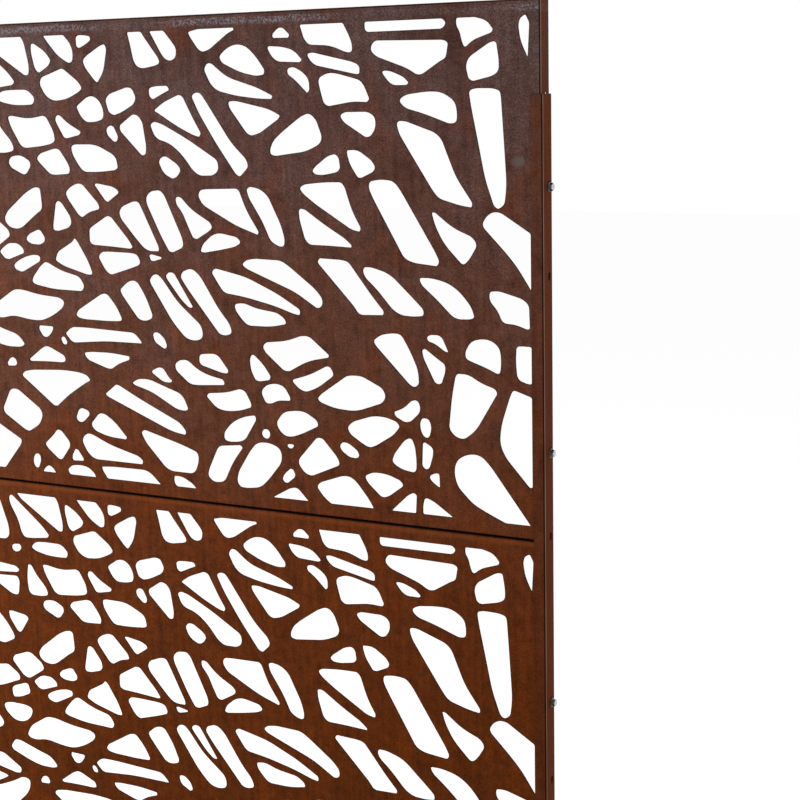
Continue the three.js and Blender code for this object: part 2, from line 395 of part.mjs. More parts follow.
function holePoints(flat) {
  const drawn = drawnPoints(flat);
  const inward = Math.sign(THREE.ShapeUtils.area(drawn));
  const corners = drawn.map((corner, i) => {
    const [before, after] = neighbours(drawn, i);
    return insetCorner(before, corner, after, inward);
  });
  const points = [];
  corners.forEach((corner, i) => {
    const [before, after] = neighbours(corners, i);
    const [drawnBefore, drawnAfter] = neighbours(drawn, i);
    const inside = before.clone().sub(corner).angleTo(after.clone().sub(corner));
    const atBorder = isBorderLine(drawnBefore, drawn[i]) || isBorderLine(drawn[i], drawnAfter);
    const wanted = atBorder ? BORDER_ROUND : ROUND * Math.sin(inside / 2);
    const reach = Math.min(wanted, corner.distanceTo(before) / 2, corner.distanceTo(after) / 2);
    const start = mix(corner, before, reach / corner.distanceTo(before));
    const end = mix(corner, after, reach / corner.distanceTo(after));
    const count = inside < SHARP_CORNER ? 2 : 1;
    for (let k = 0; k < count; k += 1) {
      const t = (k + 0.5) / count;
      points.push(mix(mix(start, corner, t), mix(corner, end, t), t));
    }
  });
  return points.map(onPanel);
}

// A three.js geometry as a closed solid, and back.
function toSolid(geometry) {
  const plain = geometry.clone();
  plain.deleteAttribute("normal");
  plain.deleteAttribute("uv");
  const merged = mergeVertices(plain, 1e-4);
  return new wasm.Manifold(new wasm.Mesh({
    numProp: 3,
    vertProperties: new Float32Array(merged.attributes.position.array),
    triVerts: new Uint32Array(merged.index.array),
  }));
}

function toGeometry(solid) {
  const mesh = solid.getMesh();
  const indexed = new THREE.BufferGeometry();
  const vertices = new Float32Array(mesh.vertProperties);
  const corners = new Uint32Array(mesh.triVerts);
  indexed.setAttribute("position", new THREE.BufferAttribute(vertices, 3));
  indexed.setIndex(new THREE.BufferAttribute(corners, 1));
  const faceted = indexed.toNonIndexed();
  faceted.computeVertexNormals();
  return faceted;
}

function fuse(solids) {
  return solids.reduce((sum, solid) => sum.add(solid));
}

function pierce(solid, cutters) {
  return cutters.reduce((rest, cutter) => rest.subtract(cutter), solid);
}

function extrude(points, depth, holes = []) {
  const shape = new THREE.Shape(points);
  holes.forEach((hole) => shape.holes.push(new THREE.Path(hole)));
  return new THREE.ExtrudeGeometry(shape, { depth, bevelEnabled: false });
}

function arc(cx, cy, radius, from, to, steps) {
  const points = [];
  for (let i = 0; i <= steps; i += 1) {
    const angle = THREE.MathUtils.degToRad(from + ((to - from) * i) / steps);
    points.push(new THREE.Vector2(cx + radius * Math.cos(angle), cy + radius * Math.sin(angle)));
  }
  return points;
}

// An extrusion's own X, Y and Z become the screen's Y, Z and X.
function alongX(geometry) {
  return geometry.rotateX(Math.PI / 2).rotateZ(Math.PI / 2);
}

function rodAlongX(diameter, length, sides, x, y, z) {
  const rod = new THREE.CylinderGeometry(diameter / 2, diameter / 2, length, sides);
  return toSolid(rod.rotateZ(Math.PI / 2).translate(x, y, z));
}

function rodAlongZ(diameter, length, sides, x, y, z) {
  const rod = new THREE.CylinderGeometry(diameter / 2, diameter / 2, length, sides);
  return toSolid(rod.rotateX(Math.PI / 2).translate(x, y, z));
}

// ---- materials ----
const UPPER_BROWN = { color: "#4f352e", roughness: 0.7, metalness: 0.25 };
const LOWER_ORANGE = { color: "#63361c", roughness: 0.75, metalness: 0.2 };
const POST_BROWN = { color: "#563226", roughness: 0.72, metalness: 0.25 };
const FOOT_BROWN = { color: "#4a2f26", roughness: 0.75, metalness: 0.25 };
const STAINLESS = { color: "#b9bbbd", roughness: 0.32, metalness: 0.9 };

const screen = new THREE.Group();
screen.name = "pattern_cut_screen";

function add(name, geometry, look) {
  const mesh = new THREE.Mesh(geometry, new THREE.MeshStandardMaterial(look));
  mesh.name = name;
  screen.add(mesh);
}

// ---- panels ----
// Section of a folded edge: across the face first, with the panel's edge at 0, then the depth.
function foldSection() {
  return [
    new THREE.Vector2(-BEND - FOLD_LAP, 0),
    ...arc(-BEND, BEND, BEND, -90, 0, ARC_STEPS),
    new THREE.Vector2(0, PANEL_DEPTH),
    new THREE.Vector2(-SHEET, PANEL_DEPTH),
    ...arc(-BEND, BEND, BEND - SHEET, 0, -90, ARC_STEPS),
    new THREE.Vector2(-BEND - FOLD_LAP, SHEET),
  ];
}

function makePanel(bottom) {
  const halfWidth = PANEL_WIDTH / 2;
  const outline = [
    new THREE.Vector2(-halfWidth + BEND, BEND),
    new THREE.Vector2(halfWidth - BEND, BEND),
    new THREE.Vector2(halfWidth - BEND, PANEL_HEIGHT - BEND),
    new THREE.Vector2(-halfWidth + BEND, PANEL_HEIGHT - BEND),
  ];
  const face = extrude(outline, SHEET, HOLES.map(holePoints));
  face.rotateX(Math.PI / 2).translate(0, SHEET, 0);

  // The side folds run the full height, the end folds stop just short of them.
  const endLength = PANEL_WIDTH - 2 * (BEND + FIT);
  const side = toSolid(extrude(foldSection(), PANEL_HEIGHT).translate(halfWidth, 0, 0));
  const top = extrude(foldSection(), endLength);
  top.rotateY(-Math.PI / 2).translate(endLength / 2, 0, PANEL_HEIGHT);
  const low = extrude(foldSection(), endLength);
  low.rotateY(Math.PI / 2).translate(-endLength / 2, 0, 0);
  const tray = fuse([toSolid(face), side, side.mirror([1, 0, 0]), toSolid(top), toSolid(low)]);

  const bores = [];
  const fixingDepth = FIXING_Y - PANEL_FRONT;
  const across = PANEL_WIDTH + SHEET;
  for (let z = HOLE_PITCH; z < PANEL_HEIGHT - HOLE_PITCH / 2; z += HOLE_PITCH) {
    bores.push(rodAlongX(SMALL.bore, across, BORE_SIDES, 0, fixingDepth, z));
  }
  const down = PANEL_HEIGHT + SHEET;
  seamPlaces().forEach((x) => {
    bores.push(rodAlongZ(SMALL.bore, down, BORE_SIDES, x, SEAM_BOLT_DEPTH, PANEL_HEIGHT / 2));
  });
  return toGeometry(pierce(tray, bores)).translate(0, PANEL_FRONT, bottom);
}

function seamPlaces() {
  const first = SEAM_BOLT_INSET - PANEL_WIDTH / 2;
  const pitch = (-2 * first) / (SEAM_BOLT_COUNT - 1);
  const places = [];
  for (let i = 0; i < SEAM_BOLT_COUNT; i += 1) {
    places.push(first + i * pitch);
  }
  return places;
}

add("upper_panel", makePanel(UPPER_BOTTOM), UPPER_BROWN);
add("lower_panel", makePanel(FLOOR_GAP), LOWER_ORANGE);

// ---- posts ----
function postSection() {
  const half = POST_DEPTH / 2;
  return [
    new THREE.Vector2(WEB_OUTSIDE - POST_LIP, -half),
    ...arc(WEB_OUTSIDE - BEND, BEND - half, BEND, -90, 0, ARC_STEPS),
    ...arc(WEB_OUTSIDE - BEND, half - BEND, BEND, 0, 90, ARC_STEPS),
    new THREE.Vector2(WEB_OUTSIDE - POST_LIP, half),
    new THREE.Vector2(WEB_OUTSIDE - POST_LIP, half - SHEET),
    ...arc(WEB_OUTSIDE - BEND, half - BEND, BEND - SHEET, 90, 0, ARC_STEPS),
    ...arc(WEB_OUTSIDE - BEND, BEND - half, BEND - SHEET, 0, -90, ARC_STEPS),
    new THREE.Vector2(WEB_OUTSIDE - POST_LIP, SHEET - half),
  ];
}

function slotCutter(z) {
  const straight = (SLOT_LENGTH - SLOT_WIDTH) / 2;
  const outline = [
    ...arc(0, straight, SLOT_WIDTH / 2, 0, 180, SLOT_STEPS),
    ...arc(0, -straight, SLOT_WIDTH / 2, 180, 360, SLOT_STEPS),
  ];
  const cutter = alongX(extrude(outline, 3 * SHEET));
  return toSolid(cutter.translate(WEB_INSIDE - SHEET, FIXING_Y, z));
}

function panelBottoms() {
  return [UPPER_BOTTOM, FLOOR_GAP];
}

const channel = extrude(postSection(), POST_TOP - POST_BOTTOM).translate(0, 0, POST_BOTTOM);
const postCutters = [];
FOOT_BOLT_HEIGHTS.forEach((z) => {
  postCutters.push(rodAlongX(LARGE.bore, 4 * SHEET, BORE_SIDES, WEB_INSIDE, 0, z));
});
panelBottoms().forEach((bottom) => {
  SLOTTED_PITCHES.forEach((step) => {
    postCutters.push(slotCutter(bottom + PANEL_HEIGHT - step * HOLE_PITCH + SLOT_RISE));
  });
});
const rightPost = pierce(toSolid(channel), postCutters);
add("right_post", toGeometry(rightPost), POST_BROWN);
add("left_post", toGeometry(rightPost.mirror([1, 0, 0])), POST_BROWN);

// ---- feet ----
// A flat plate on the floor with an upright tab that stands inside the channel.
function footOutline() {
  const outer = WEB_OUTSIDE + FOOT_MARGIN - FOOT_CORNER;
  const inner = WEB_OUTSIDE + FOOT_MARGIN - FOOT_WIDTH + FOOT_CORNER;
  const end = FOOT_DEPTH / 2 - FOOT_CORNER;
  return [
    ...arc(outer, end, FOOT_CORNER, 0, 90, CORNER_STEPS),
    ...arc(inner, end, FOOT_CORNER, 90, 180, CORNER_STEPS),
    ...arc(inner, -end, FOOT_CORNER, 180, 270, CORNER_STEPS),
    ...arc(outer, -end, FOOT_CORNER, 270, 360, CORNER_STEPS),
  ];
}

const TAB_X = WEB_INSIDE - FIT - TAB_PLATE / 2;
const tabLength = TAB_HEIGHT - FOOT_PLATE / 2;
const tab = new THREE.BoxGeometry(TAB_PLATE, TAB_DEPTH, tabLength);
tab.translate(TAB_X, 0, TAB_HEIGHT - tabLength / 2);
const rightFoot = pierce(
  fuse([toSolid(extrude(footOutline(), FOOT_PLATE)), toSolid(tab)]),
  FOOT_BOLT_HEIGHTS.map((z) => rodAlongX(LARGE.bore, 3 * TAB_PLATE, BORE_SIDES, TAB_X, 0, z)),
);
add("right_foot", toGeometry(rightFoot), FOOT_BROWN);
add("left_foot", toGeometry(rightFoot.mirror([1, 0, 0])), FOOT_BROWN);

// ---- bolts and nuts ----
// A flanged hex bolt pointing down, with the underside of its flange at Z = 0.
function makeBolt(size, grip) {
  const reach = grip + size.nut + THREAD_END;
  const hexRadius = size.hex / 2 / Math.cos(Math.PI / 6);
  const flangeRadius = size.flange / 2;
  const threadRadius = size.thread / 2;
  const flange = new THREE.CylinderGeometry(hexRadius, flangeRadius, size.flangeThick, FLANGE_SIDES);
  const hex = new THREE.CylinderGeometry(hexRadius, hexRadius, size.head, 6);
  const shank = reach + BOLT_LAP;
  const thread = new THREE.CylinderGeometry(threadRadius, threadRadius, shank, THREAD_SIDES);
  [flange, hex, thread].forEach((part) => part.rotateX(Math.PI / 2));
  flange.translate(0, 0, size.flangeThick / 2);
  hex.translate(0, 0, size.flangeThick - BOLT_LAP + size.head / 2);
  thread.translate(0, 0, (BOLT_LAP - reach) / 2);
  return toGeometry(fuse([flange, hex, thread].map(toSolid)));
}

// A closed polygon, and one for a bore that clears the thread.
function polygon(radius, sides) {
  return arc(0, 0, radius, 0, 360 - 360 / sides, sides - 1);
}

function clearBore(size) {
  return polygon((size.thread / 2 + FIT) / Math.cos(Math.PI / THREAD_SIDES), THREAD_SIDES);
}

// A hex nut with its upper face at Z = 0.
function makeNut(size) {
  const hexRadius = size.hex / 2 / Math.cos(Math.PI / 6);
  return extrude(polygon(hexRadius, 6), size.nut, [clearBore(size)]).translate(0, 0, -size.nut);
}

const SIDES = [["right", 1], ["left", -1]];

// Puts a bolt or nut on a post: its own Z turns to point outwards.
function toSide(geometry, side, x, y, z) {
  return geometry.rotateY((side * Math.PI) / 2).translate(side * x, y, z);
}

const sideGrip = POST_SIDE_GAP + 2 * SHEET + 2 * FIT;
panelBottoms().forEach((bottom, row) => {
  const panelName = row === 0 ? "upper" : "lower";
  BOLTED_PITCHES.forEach((step, i) => {
    const z = bottom + PANEL_HEIGHT - step * HOLE_PITCH;
    const level = i === 0 ? "top" : "bottom";
    SIDES.forEach(([sideName, side]) => {
      const bolt = toSide(makeBolt(SMALL, sideGrip), side, WEB_OUTSIDE + FIT, FIXING_Y, z);
      add(`${panelName}_${level}_bolt_${sideName}`, bolt, STAINLESS);
      const nut = toSide(makeNut(SMALL), side, PANEL_WIDTH / 2 - SHEET - FIT, FIXING_Y, z);
      add(`${panelName}_${level}_nut_${sideName}`, nut, STAINLESS);
    });
  });
});

const seamGrip = SEAM_GAP + 2 * SHEET + 2 * FIT;
seamPlaces().forEach((x, i) => {
  const y = PANEL_FRONT + SEAM_BOLT_DEPTH;
  const headZ = UPPER_BOTTOM + SHEET + FIT;
  const nutZ = UPPER_BOTTOM - SEAM_GAP - SHEET - FIT;
  add(`seam_bolt_${i + 1}`, makeBolt(SMALL, seamGrip).translate(x, y, headZ), STAINLESS);
  add(`seam_nut_${i + 1}`, makeNut(SMALL).translate(x, y, nutZ), STAINLESS);
  const spacer = extrude(polygon(WASHER / 2, WASHER_SIDES), SEAM_GAP - 2 * FIT, [clearBore(SMALL)]);
  add(`seam_washer_${i + 1}`, spacer.translate(x, y, UPPER_BOTTOM - SEAM_GAP + FIT), STAINLESS);
});

const footGrip = SHEET + TAB_PLATE + 3 * FIT;
FOOT_BOLT_HEIGHTS.forEach((z, i) => {
  SIDES.forEach(([sideName, side]) => {
    const bolt = toSide(makeBolt(LARGE, footGrip), side, WEB_OUTSIDE + FIT, 0, z);
    add(`foot_bolt_${sideName}_${i + 1}`, bolt, STAINLESS);
    const nut = toSide(makeNut(LARGE), side, WEB_INSIDE - TAB_PLATE - 2 * FIT, 0, z);
    add(`foot_nut_${sideName}_${i + 1}`, nut, STAINLESS);
  });
});

export default screen;
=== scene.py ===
import math

import bmesh
import bpy
import numpy as np
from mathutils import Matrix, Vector
from mathutils.geometry import delaunay_2d_cdt


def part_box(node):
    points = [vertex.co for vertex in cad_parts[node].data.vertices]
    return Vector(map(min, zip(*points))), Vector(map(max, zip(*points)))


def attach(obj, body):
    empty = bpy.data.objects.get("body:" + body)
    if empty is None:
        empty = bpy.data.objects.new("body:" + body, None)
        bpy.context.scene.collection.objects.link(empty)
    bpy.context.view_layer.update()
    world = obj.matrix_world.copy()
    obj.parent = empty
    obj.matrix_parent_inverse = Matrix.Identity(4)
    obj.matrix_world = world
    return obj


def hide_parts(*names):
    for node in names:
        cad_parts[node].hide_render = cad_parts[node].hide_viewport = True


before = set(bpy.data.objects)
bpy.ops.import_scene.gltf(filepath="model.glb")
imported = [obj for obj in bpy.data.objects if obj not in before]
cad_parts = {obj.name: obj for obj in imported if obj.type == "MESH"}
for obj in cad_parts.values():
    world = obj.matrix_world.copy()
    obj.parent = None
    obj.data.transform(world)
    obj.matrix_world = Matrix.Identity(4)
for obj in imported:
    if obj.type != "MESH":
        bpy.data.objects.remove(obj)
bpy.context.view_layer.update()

# ==========================================================================================
# PANELS
# Two equal trays of 2 mm sheet steel. The cells were cut by laser in the flat sheet, the four
# edges were folded back, and holes in the folds take the bolts. The steel was left to rust
# to a brown skin. The colour runs greyer near the top of the screen and more orange towards the
# floor.
# ==========================================================================================
MM = 0.001
PANEL_WIDTH = 1219.0
PANEL_HEIGHT = 762.0
PANEL_DEPTH = 31.0
PANEL_FRONT = -15.7
SHEET = 2.0
BEND = 3.0  # outside radius of every fold
FIT = 0.3  # air between neighbouring pieces
BEND_STEPS = 10
STRIP = 0.6  # flat strip that each bend keeps, so that flat areas shade flat
EDGE_BREAK = 0.22  # small bevel along every cut edge
RIM = 1.5  # width of the darker line that the cut left beside each hole
MARGINS = {"right": 16.5, "left": 17.5, "top": 21.5, "bottom": 20.5}  # solid rim round the cells
HOLE_PITCH = PANEL_HEIGHT / 6
BORE = 7.0
BORE_POINTS = 32
FIXING_Y = 5.0  # the side bolts stand this far behind the screen's middle plane
SEAM_BOLTS = [-508.5, -169.5, 169.5, 508.5]
SEAM_BOLT_DEPTH = 17.0

# Every cell is a loop of corner points in millimetres: first how far left of the panel's right
# edge, then how far below its top edge. Cells at the sides and ends stop on one common line.
CUT_INSET = 0.85  # drawn line to cut edge, but none along the border lines
ROUND = 15.0  # rounding of the free corners
BORDER_ROUND = 3.0  # tighter rounding where a cell meets the border line
NEARLY_STRAIGHT = 0.05
CORNER_POINTS = 5
CELLS = [
    # top row, right to left
    [26, 21, 31.5, 24.5, 34, 34, 31, 55, 18.8, 81, 17, 50, 17, 29, 21, 21],
    [126, 21, 94, 21, 79, 25, 69, 38, 72, 43, 100, 52, 114, 64, 119, 50, 121, 40, 126.5, 31],
    [269, 21, 145, 21, 139, 27, 146, 35.5, 269, 36],
    [375.5, 21, 302, 21, 292, 40, 288, 52, 288.5, 63.5, 300, 63, 325, 52.5, 361, 50.5, 369, 42],
    [422, 39, 422, 32, 411, 23, 402, 23.5, 391, 34, 393, 39.5],
    [571, 24, 556, 21, 487, 21, 486, 25, 497, 29, 532, 52.5, 545, 55.5, 553, 51, 566, 33],
    [640.5, 21, 612, 21, 596, 40, 590.5, 48, 592, 62, 603, 67.5, 614, 64, 621, 55],
    [682, 21, 654, 21, 648, 30, 625, 60, 621.5, 69, 630, 73, 655, 77, 667, 74, 673, 64, 678, 38],
    [781, 21.5, 765, 21.5, 751, 24, 750, 31, 762, 38, 774, 43, 780.5, 40],
    [845, 21, 802, 21, 790, 34, 785.5, 48, 788, 63, 797, 65.5, 818, 53.5, 838, 30],
    [871.5, 45, 870, 31.5, 863, 31.5, 842, 44, 830, 59, 836, 68, 858, 80, 866, 71],
    [973, 21, 887, 21, 882, 30, 875, 65, 876.5, 81, 886, 82.5, 910, 67, 965, 31],
    [991, 31, 987, 25, 981, 25, 919, 75.5, 906, 91, 912, 96.5, 945, 100.5, 962, 101, 969, 92,
      974, 70, 989, 43],
    [1048, 21, 1018, 21, 1010, 33, 994, 82, 994, 100, 1003, 108, 1030, 109, 1040, 84, 1050, 48],
    [1146, 21, 1066, 21, 1060, 36, 1066, 54, 1080, 54, 1108, 38],
    [1202, 21, 1182, 21, 1112, 51, 1080, 70, 1070, 88, 1084, 108, 1106, 112, 1140, 96, 1172, 62,
      1202, 36],
    # second row
    [113, 86, 108, 74, 76, 54.5, 65, 53, 61, 80, 61.5, 95, 72, 101.5, 102, 108, 109, 104],
    [255, 46.5, 145, 49, 137, 53, 141, 75, 150, 79, 184, 100, 202, 88, 252, 70, 262, 60],
    [246, 89, 230, 89, 208, 98, 199, 107, 203, 111, 225, 111, 234, 105],
    [349, 97, 330, 89.5, 315, 91, 278, 101, 271, 109, 262.5, 129, 267, 134, 290, 132.5, 332, 139,
      340, 134, 345, 115],
    [366, 62, 355, 60, 288, 75.5, 277, 81, 277.5, 94, 285, 94, 351, 80, 360, 73],
    [399, 82, 387, 79.5, 371, 88, 361, 99, 361, 115, 366, 120, 385, 101, 399, 91],
    [434, 48.5, 405, 50.5, 385, 56, 371, 71, 376, 75, 415, 73, 425, 65],
    [517, 62, 503, 50, 486, 44, 468, 47, 452, 61, 436, 83, 437, 91, 452, 93, 480, 87, 512, 72],
    [545, 80, 538, 70.5, 529, 71, 503, 92, 450, 108.5, 424, 121, 426, 127, 450, 126, 490, 121,
      522, 113, 534, 103],
    [648, 105, 632, 102.5, 611, 102.5, 606.5, 110, 617, 114, 640, 124.5, 647, 119],
    [770.5, 61, 763, 54, 735, 39, 724, 36, 720.5, 45, 729, 80, 743, 97.5, 750, 92, 766, 73],
    [858.5, 96, 855, 85, 823, 75, 810, 70.5, 780, 92.5, 772, 104, 780, 110, 804, 121, 832, 123.5,
      848, 115],
    [951, 116.5, 939, 105, 920, 103, 882, 103, 868, 117, 872, 128, 890, 129, 915, 128.5,
      940, 123],
    [993, 118, 986, 113.5, 973, 112.5, 969, 119, 974, 127, 985, 130, 992, 126],
    [1202, 58, 1186, 72, 1166, 110, 1158, 150, 1164, 196, 1178, 216, 1202, 220],
    # third row
    [109, 119, 97, 116, 72, 116.5, 60, 120, 58.5, 130, 54, 205, 51.5, 250, 55, 278, 66, 285,
      73, 280, 86, 242, 96, 190, 106, 140],
    [219, 131, 206, 123, 172, 119, 148, 120, 128, 134, 125, 150, 126, 164, 138, 166, 180, 150.5,
      208, 143],
    [223, 160, 208, 159.5, 160, 176.5, 150, 186, 129, 239, 104, 275, 105, 283, 125, 280,
      158, 270.5, 168, 258, 200, 208, 219, 178],
    [314.5, 151, 305, 146, 266, 146, 254, 154, 254, 171, 263, 182.5, 272, 184, 308, 161.5],
    [434, 199, 428, 187, 415, 176, 380, 152, 364, 146, 352, 156, 343, 181, 345, 190, 352, 195.5,
      372, 204, 425, 210.5, 434, 208],
    [505, 128, 490, 127, 432, 140, 412, 150, 416, 156, 450, 177, 466, 180.5, 474, 176, 502, 139],
    [570, 119, 562, 113.5, 552, 114, 545, 123, 500, 190, 475, 214, 471, 226, 488, 242, 496, 238,
      530, 190, 558, 145],
    [641, 140.5, 622, 127.5, 592, 116, 584, 119, 565, 156, 553.5, 175, 557, 182, 569, 179,
      597, 166, 633, 144.5],
    [649, 161, 640, 156, 625, 160, 580, 183, 538, 208.5, 526, 216, 525, 232, 536, 240,
      562, 240.5, 574, 232, 592, 208, 615, 190, 640, 184],
    [707, 162, 680, 144.5, 670, 146, 661, 156, 656, 195, 658, 208, 667, 210, 690, 187, 706, 171],
    [731.5, 122, 723, 113, 688, 103, 677, 105, 670, 121, 676, 131, 700, 143, 716, 147.5,
      726, 142],
    [733, 167, 726, 161.5, 717, 162, 708.5, 179, 711, 187.5, 719, 188.5, 731.5, 177],
    [789, 132, 781, 126.5, 765, 116, 751, 115.5, 739, 125, 733.5, 140, 735, 152.5, 750, 157,
      770, 157.5, 780, 149],
    [832.5, 152, 829, 144.5, 821, 144, 806, 157, 780, 171, 784, 177, 808, 182, 816, 182,
      829, 160],
    [929, 145, 918, 144, 885, 149.5, 855, 144.5, 848, 147, 835, 170, 833, 186, 842, 191,
      862, 194.5, 897, 197.5, 906, 193, 924, 162],
    [960, 147.5, 951, 148, 942, 164, 922, 186, 917, 201, 935, 205, 962, 205, 965, 175],
    [1066, 148, 1020, 151, 986, 154, 977, 161, 984, 167, 1020, 170, 1062, 171],
    [1034, 174.5, 984, 172, 979.5, 182, 984, 209, 1000, 209, 1033, 190],
    [1106, 130, 1092, 125, 1070, 122, 1056, 128, 1062, 137, 1084, 140, 1102, 138],
    [1147, 122, 1131, 118, 1118, 130, 1128, 145, 1142, 141],
    [1146, 168, 1130, 158, 1092, 152, 1083, 162, 1078, 178, 1050, 198, 1048, 214, 1066, 222,
      1104, 232, 1132, 228, 1144, 206],
    # fourth row
    [269, 246, 250, 242.5, 228, 244.5, 217, 258, 163, 347, 157, 360, 161, 368, 200, 364,
      215, 358, 263, 272, 270, 257],
    [304, 201, 285, 200, 262, 216, 256, 226, 260, 233, 280, 242, 287, 242, 300, 222, 304, 207],
    [364, 232, 358, 225, 336, 209, 322, 206, 316, 212, 314, 228, 320, 234, 345, 238.5,
      358, 237.5],
    [387, 257, 378, 251, 345, 247.5, 314, 247, 308, 254, 297, 289, 283, 314, 285, 321, 300, 318,
      360, 281, 380, 266],
    [389, 287, 378, 287, 345, 309.5, 310, 330, 299, 340, 300, 344.5, 340, 342.5, 372, 342,
      380, 334, 388.5, 303],
    [479, 259, 472, 255, 455, 257.5, 440, 268, 431, 287, 418, 314, 413, 335, 415, 346, 425, 346,
      440, 338.5, 452, 310, 476, 272],
    [567, 271, 563, 261, 550, 259.3, 495, 258, 490, 262, 479, 291, 458, 324, 461, 329.5,
      500, 316, 559, 285],
    [637, 218, 630, 210, 620, 209.5, 600, 222, 593.5, 231, 601, 241.5, 611, 246, 629, 237],
    [609, 272, 598, 271.5, 578, 292, 546, 310, 541, 319, 548, 325, 572, 338.5, 580, 336.5,
      590, 315, 597, 298, 608.5, 284],
    [664.5, 273, 655, 263.5, 636, 261.5, 628, 269, 598, 337, 596.5, 351, 618, 360, 626, 359,
      640, 335, 664, 284],
    [718.5, 298, 712, 288.5, 690, 280, 678, 279.5, 671, 293, 644, 350, 643, 359, 669, 359.5,
      688, 340, 715, 309],
    [764, 254, 757, 252, 725, 257, 711, 266, 738, 283.5, 744, 280],
    [804, 193, 795, 190.5, 754, 190.5, 722, 206, 715, 213, 712.5, 229, 720, 232.5, 750, 235.5,
      782, 235.5, 792, 224, 803, 206],
    [822, 268, 812, 258.5, 797, 252.5, 786, 253, 756, 284, 753, 294, 775, 299, 790, 308.5,
      798, 304.5, 818, 278],
    [843, 284, 836, 280, 829, 284, 813, 306, 811.5, 318, 818, 325, 840, 331, 851, 330,
      851.5, 322],
    [876, 214, 868, 205, 838, 197, 827, 197.5, 812, 218.5, 807, 229, 809, 238.5, 840, 240.5,
      850, 239, 869, 221.5],
    [934.5, 220, 929, 210.5, 915, 207.5, 903, 208.5, 887.5, 217.5, 886.5, 226, 896, 238.5,
      904, 240.5, 929, 229],
    [951, 310, 944, 299, 903, 268, 885, 259.5, 871, 259, 869.5, 280, 869, 296, 882, 303.5,
      913, 326, 925, 329.5, 941, 327, 950, 318],
    [1012, 240, 1003, 238.5, 972, 243, 965.5, 249, 982, 273, 989, 279.5, 996, 276, 1011, 253],
    [1062, 262, 1056, 238, 1046, 231, 1037, 240, 1016, 261, 1003, 281, 1000, 291, 1015, 299,
      1028, 304.5, 1048, 300, 1059, 286],
    [1136, 252, 1118, 247, 1086, 242, 1077, 250, 1078, 272, 1070, 294, 1086, 305, 1112, 303,
      1130, 288, 1139, 270],
    [1202, 236, 1174, 232, 1156, 242, 1152, 264, 1160, 286, 1180, 297, 1202, 290],
    # fifth row
    [91, 304, 84, 293, 74, 287, 62, 287.5, 17, 316, 17, 399, 38, 366, 54, 347, 89, 311],
    [170, 289, 163, 289, 135, 311, 105, 323, 97, 335, 110, 356, 121, 366.5, 152, 334, 165, 308],
    [568, 357, 563, 345, 545, 330, 530, 326, 498, 332, 490, 341, 502, 348, 530, 354, 561, 359],
    [665.5, 364.5, 659, 362.5, 640, 366.5, 639.5, 370.5, 656, 375, 662, 374.5],
    [779.5, 342, 779, 325, 770, 319.5, 742, 303.5, 733, 304.5, 700, 342, 693, 354, 700, 356.5,
      740, 353.5, 772, 352, 779, 348],
    [911, 346, 903, 336, 884, 328.5, 877, 328.5, 868, 341, 869, 349, 880, 354.5, 900, 353.5],
    [968, 367, 961, 361, 947, 351.5, 926, 351.5, 915, 360, 913, 368.5, 948, 380.5, 957, 379],
    [1013, 333, 1007, 322.5, 975, 311.5, 966, 313, 944, 329, 939.5, 340, 949, 346.5, 977, 364,
      989, 360],
    [1092, 372, 1084, 356, 1058, 347, 1022, 341, 1013, 347, 997, 358, 996, 369, 1010, 374,
      1034, 384, 1056, 390, 1078, 386],
    [1123, 322, 1098, 319, 1072, 309, 1059, 318, 1062, 331, 1092, 342, 1106, 362, 1119, 365,
      1127, 344],
    [1202, 306, 1176, 312, 1157, 302, 1145, 306, 1136, 322, 1143, 346, 1164, 355, 1202, 348],
    [1202, 368, 1196, 370, 1166, 404, 1132, 430, 1126, 446, 1140, 461, 1172, 473, 1202, 468],
    # sixth row
    [82, 409, 81, 400, 66, 398.5, 30, 408.5, 19.5, 417, 18.5, 452, 24, 453.5, 42, 447, 62, 446.5,
      68, 430, 80, 416],
    [193, 384, 172, 383.5, 145, 389.5, 125, 403, 108, 424, 103, 440, 112, 443, 136, 444,
      163, 417, 188, 396],
    [284, 378, 281, 371, 268, 371, 238, 379.5, 195, 420, 184, 431, 184, 441, 200, 443, 222, 442,
      236, 434, 262, 404, 280, 388],
    [360, 366, 356, 360, 318, 361.5, 306, 364, 268, 414, 249, 436, 250, 443, 292, 444.5,
      300, 432, 358, 370],
    [494, 375, 486, 367.5, 470, 364, 422, 365.5, 408, 374, 364, 407, 352, 421, 352, 433,
      362, 438.5, 400, 414.5, 484, 382],
    [550, 388, 542, 381, 522, 385, 485, 393, 430, 417, 391, 440, 392, 450, 404, 448, 440, 436.5,
      490, 425.5, 528, 420.5, 537, 408],
    [608, 398, 604, 389, 585, 381.5, 569, 394, 537, 446, 519, 467, 514, 484, 530, 488, 540, 486,
      596, 416],
    [636, 397, 630, 390.5, 618.5, 390, 584, 446, 594, 447, 608, 435, 633, 403],
    [667, 405, 661, 396, 650, 393.5, 641, 401, 614, 437, 570, 474, 569, 495, 588, 499.5,
      604, 495.5, 627, 471, 665, 411],
    [726, 422, 708, 407, 691, 405, 674, 431, 661, 466, 679, 472, 692, 470, 704, 455, 723, 430],
    [765, 370, 757, 361.5, 742, 360.5, 700, 361.5, 686, 363.5, 678.5, 380, 700, 387.5, 742, 400,
      752, 392],
    [851, 376, 846, 364, 815, 347, 809, 339.5, 803, 345, 783, 378, 775, 400.5, 788, 401,
      835, 388, 850, 380],
    [904, 416, 900, 406.5, 884, 388.5, 873, 381, 866, 382, 840, 394.5, 803, 403, 794, 419,
      800, 428.5, 860, 427, 896, 420.5],
    [940, 389, 931, 381.5, 912, 373, 893, 369.5, 881, 371.5, 881, 381, 912, 396.5, 922, 401,
      936, 397],
    [1019, 387, 1012, 381, 985, 371.5, 979, 374, 974, 391, 1000, 402.5, 1015, 404.5, 1018, 400],
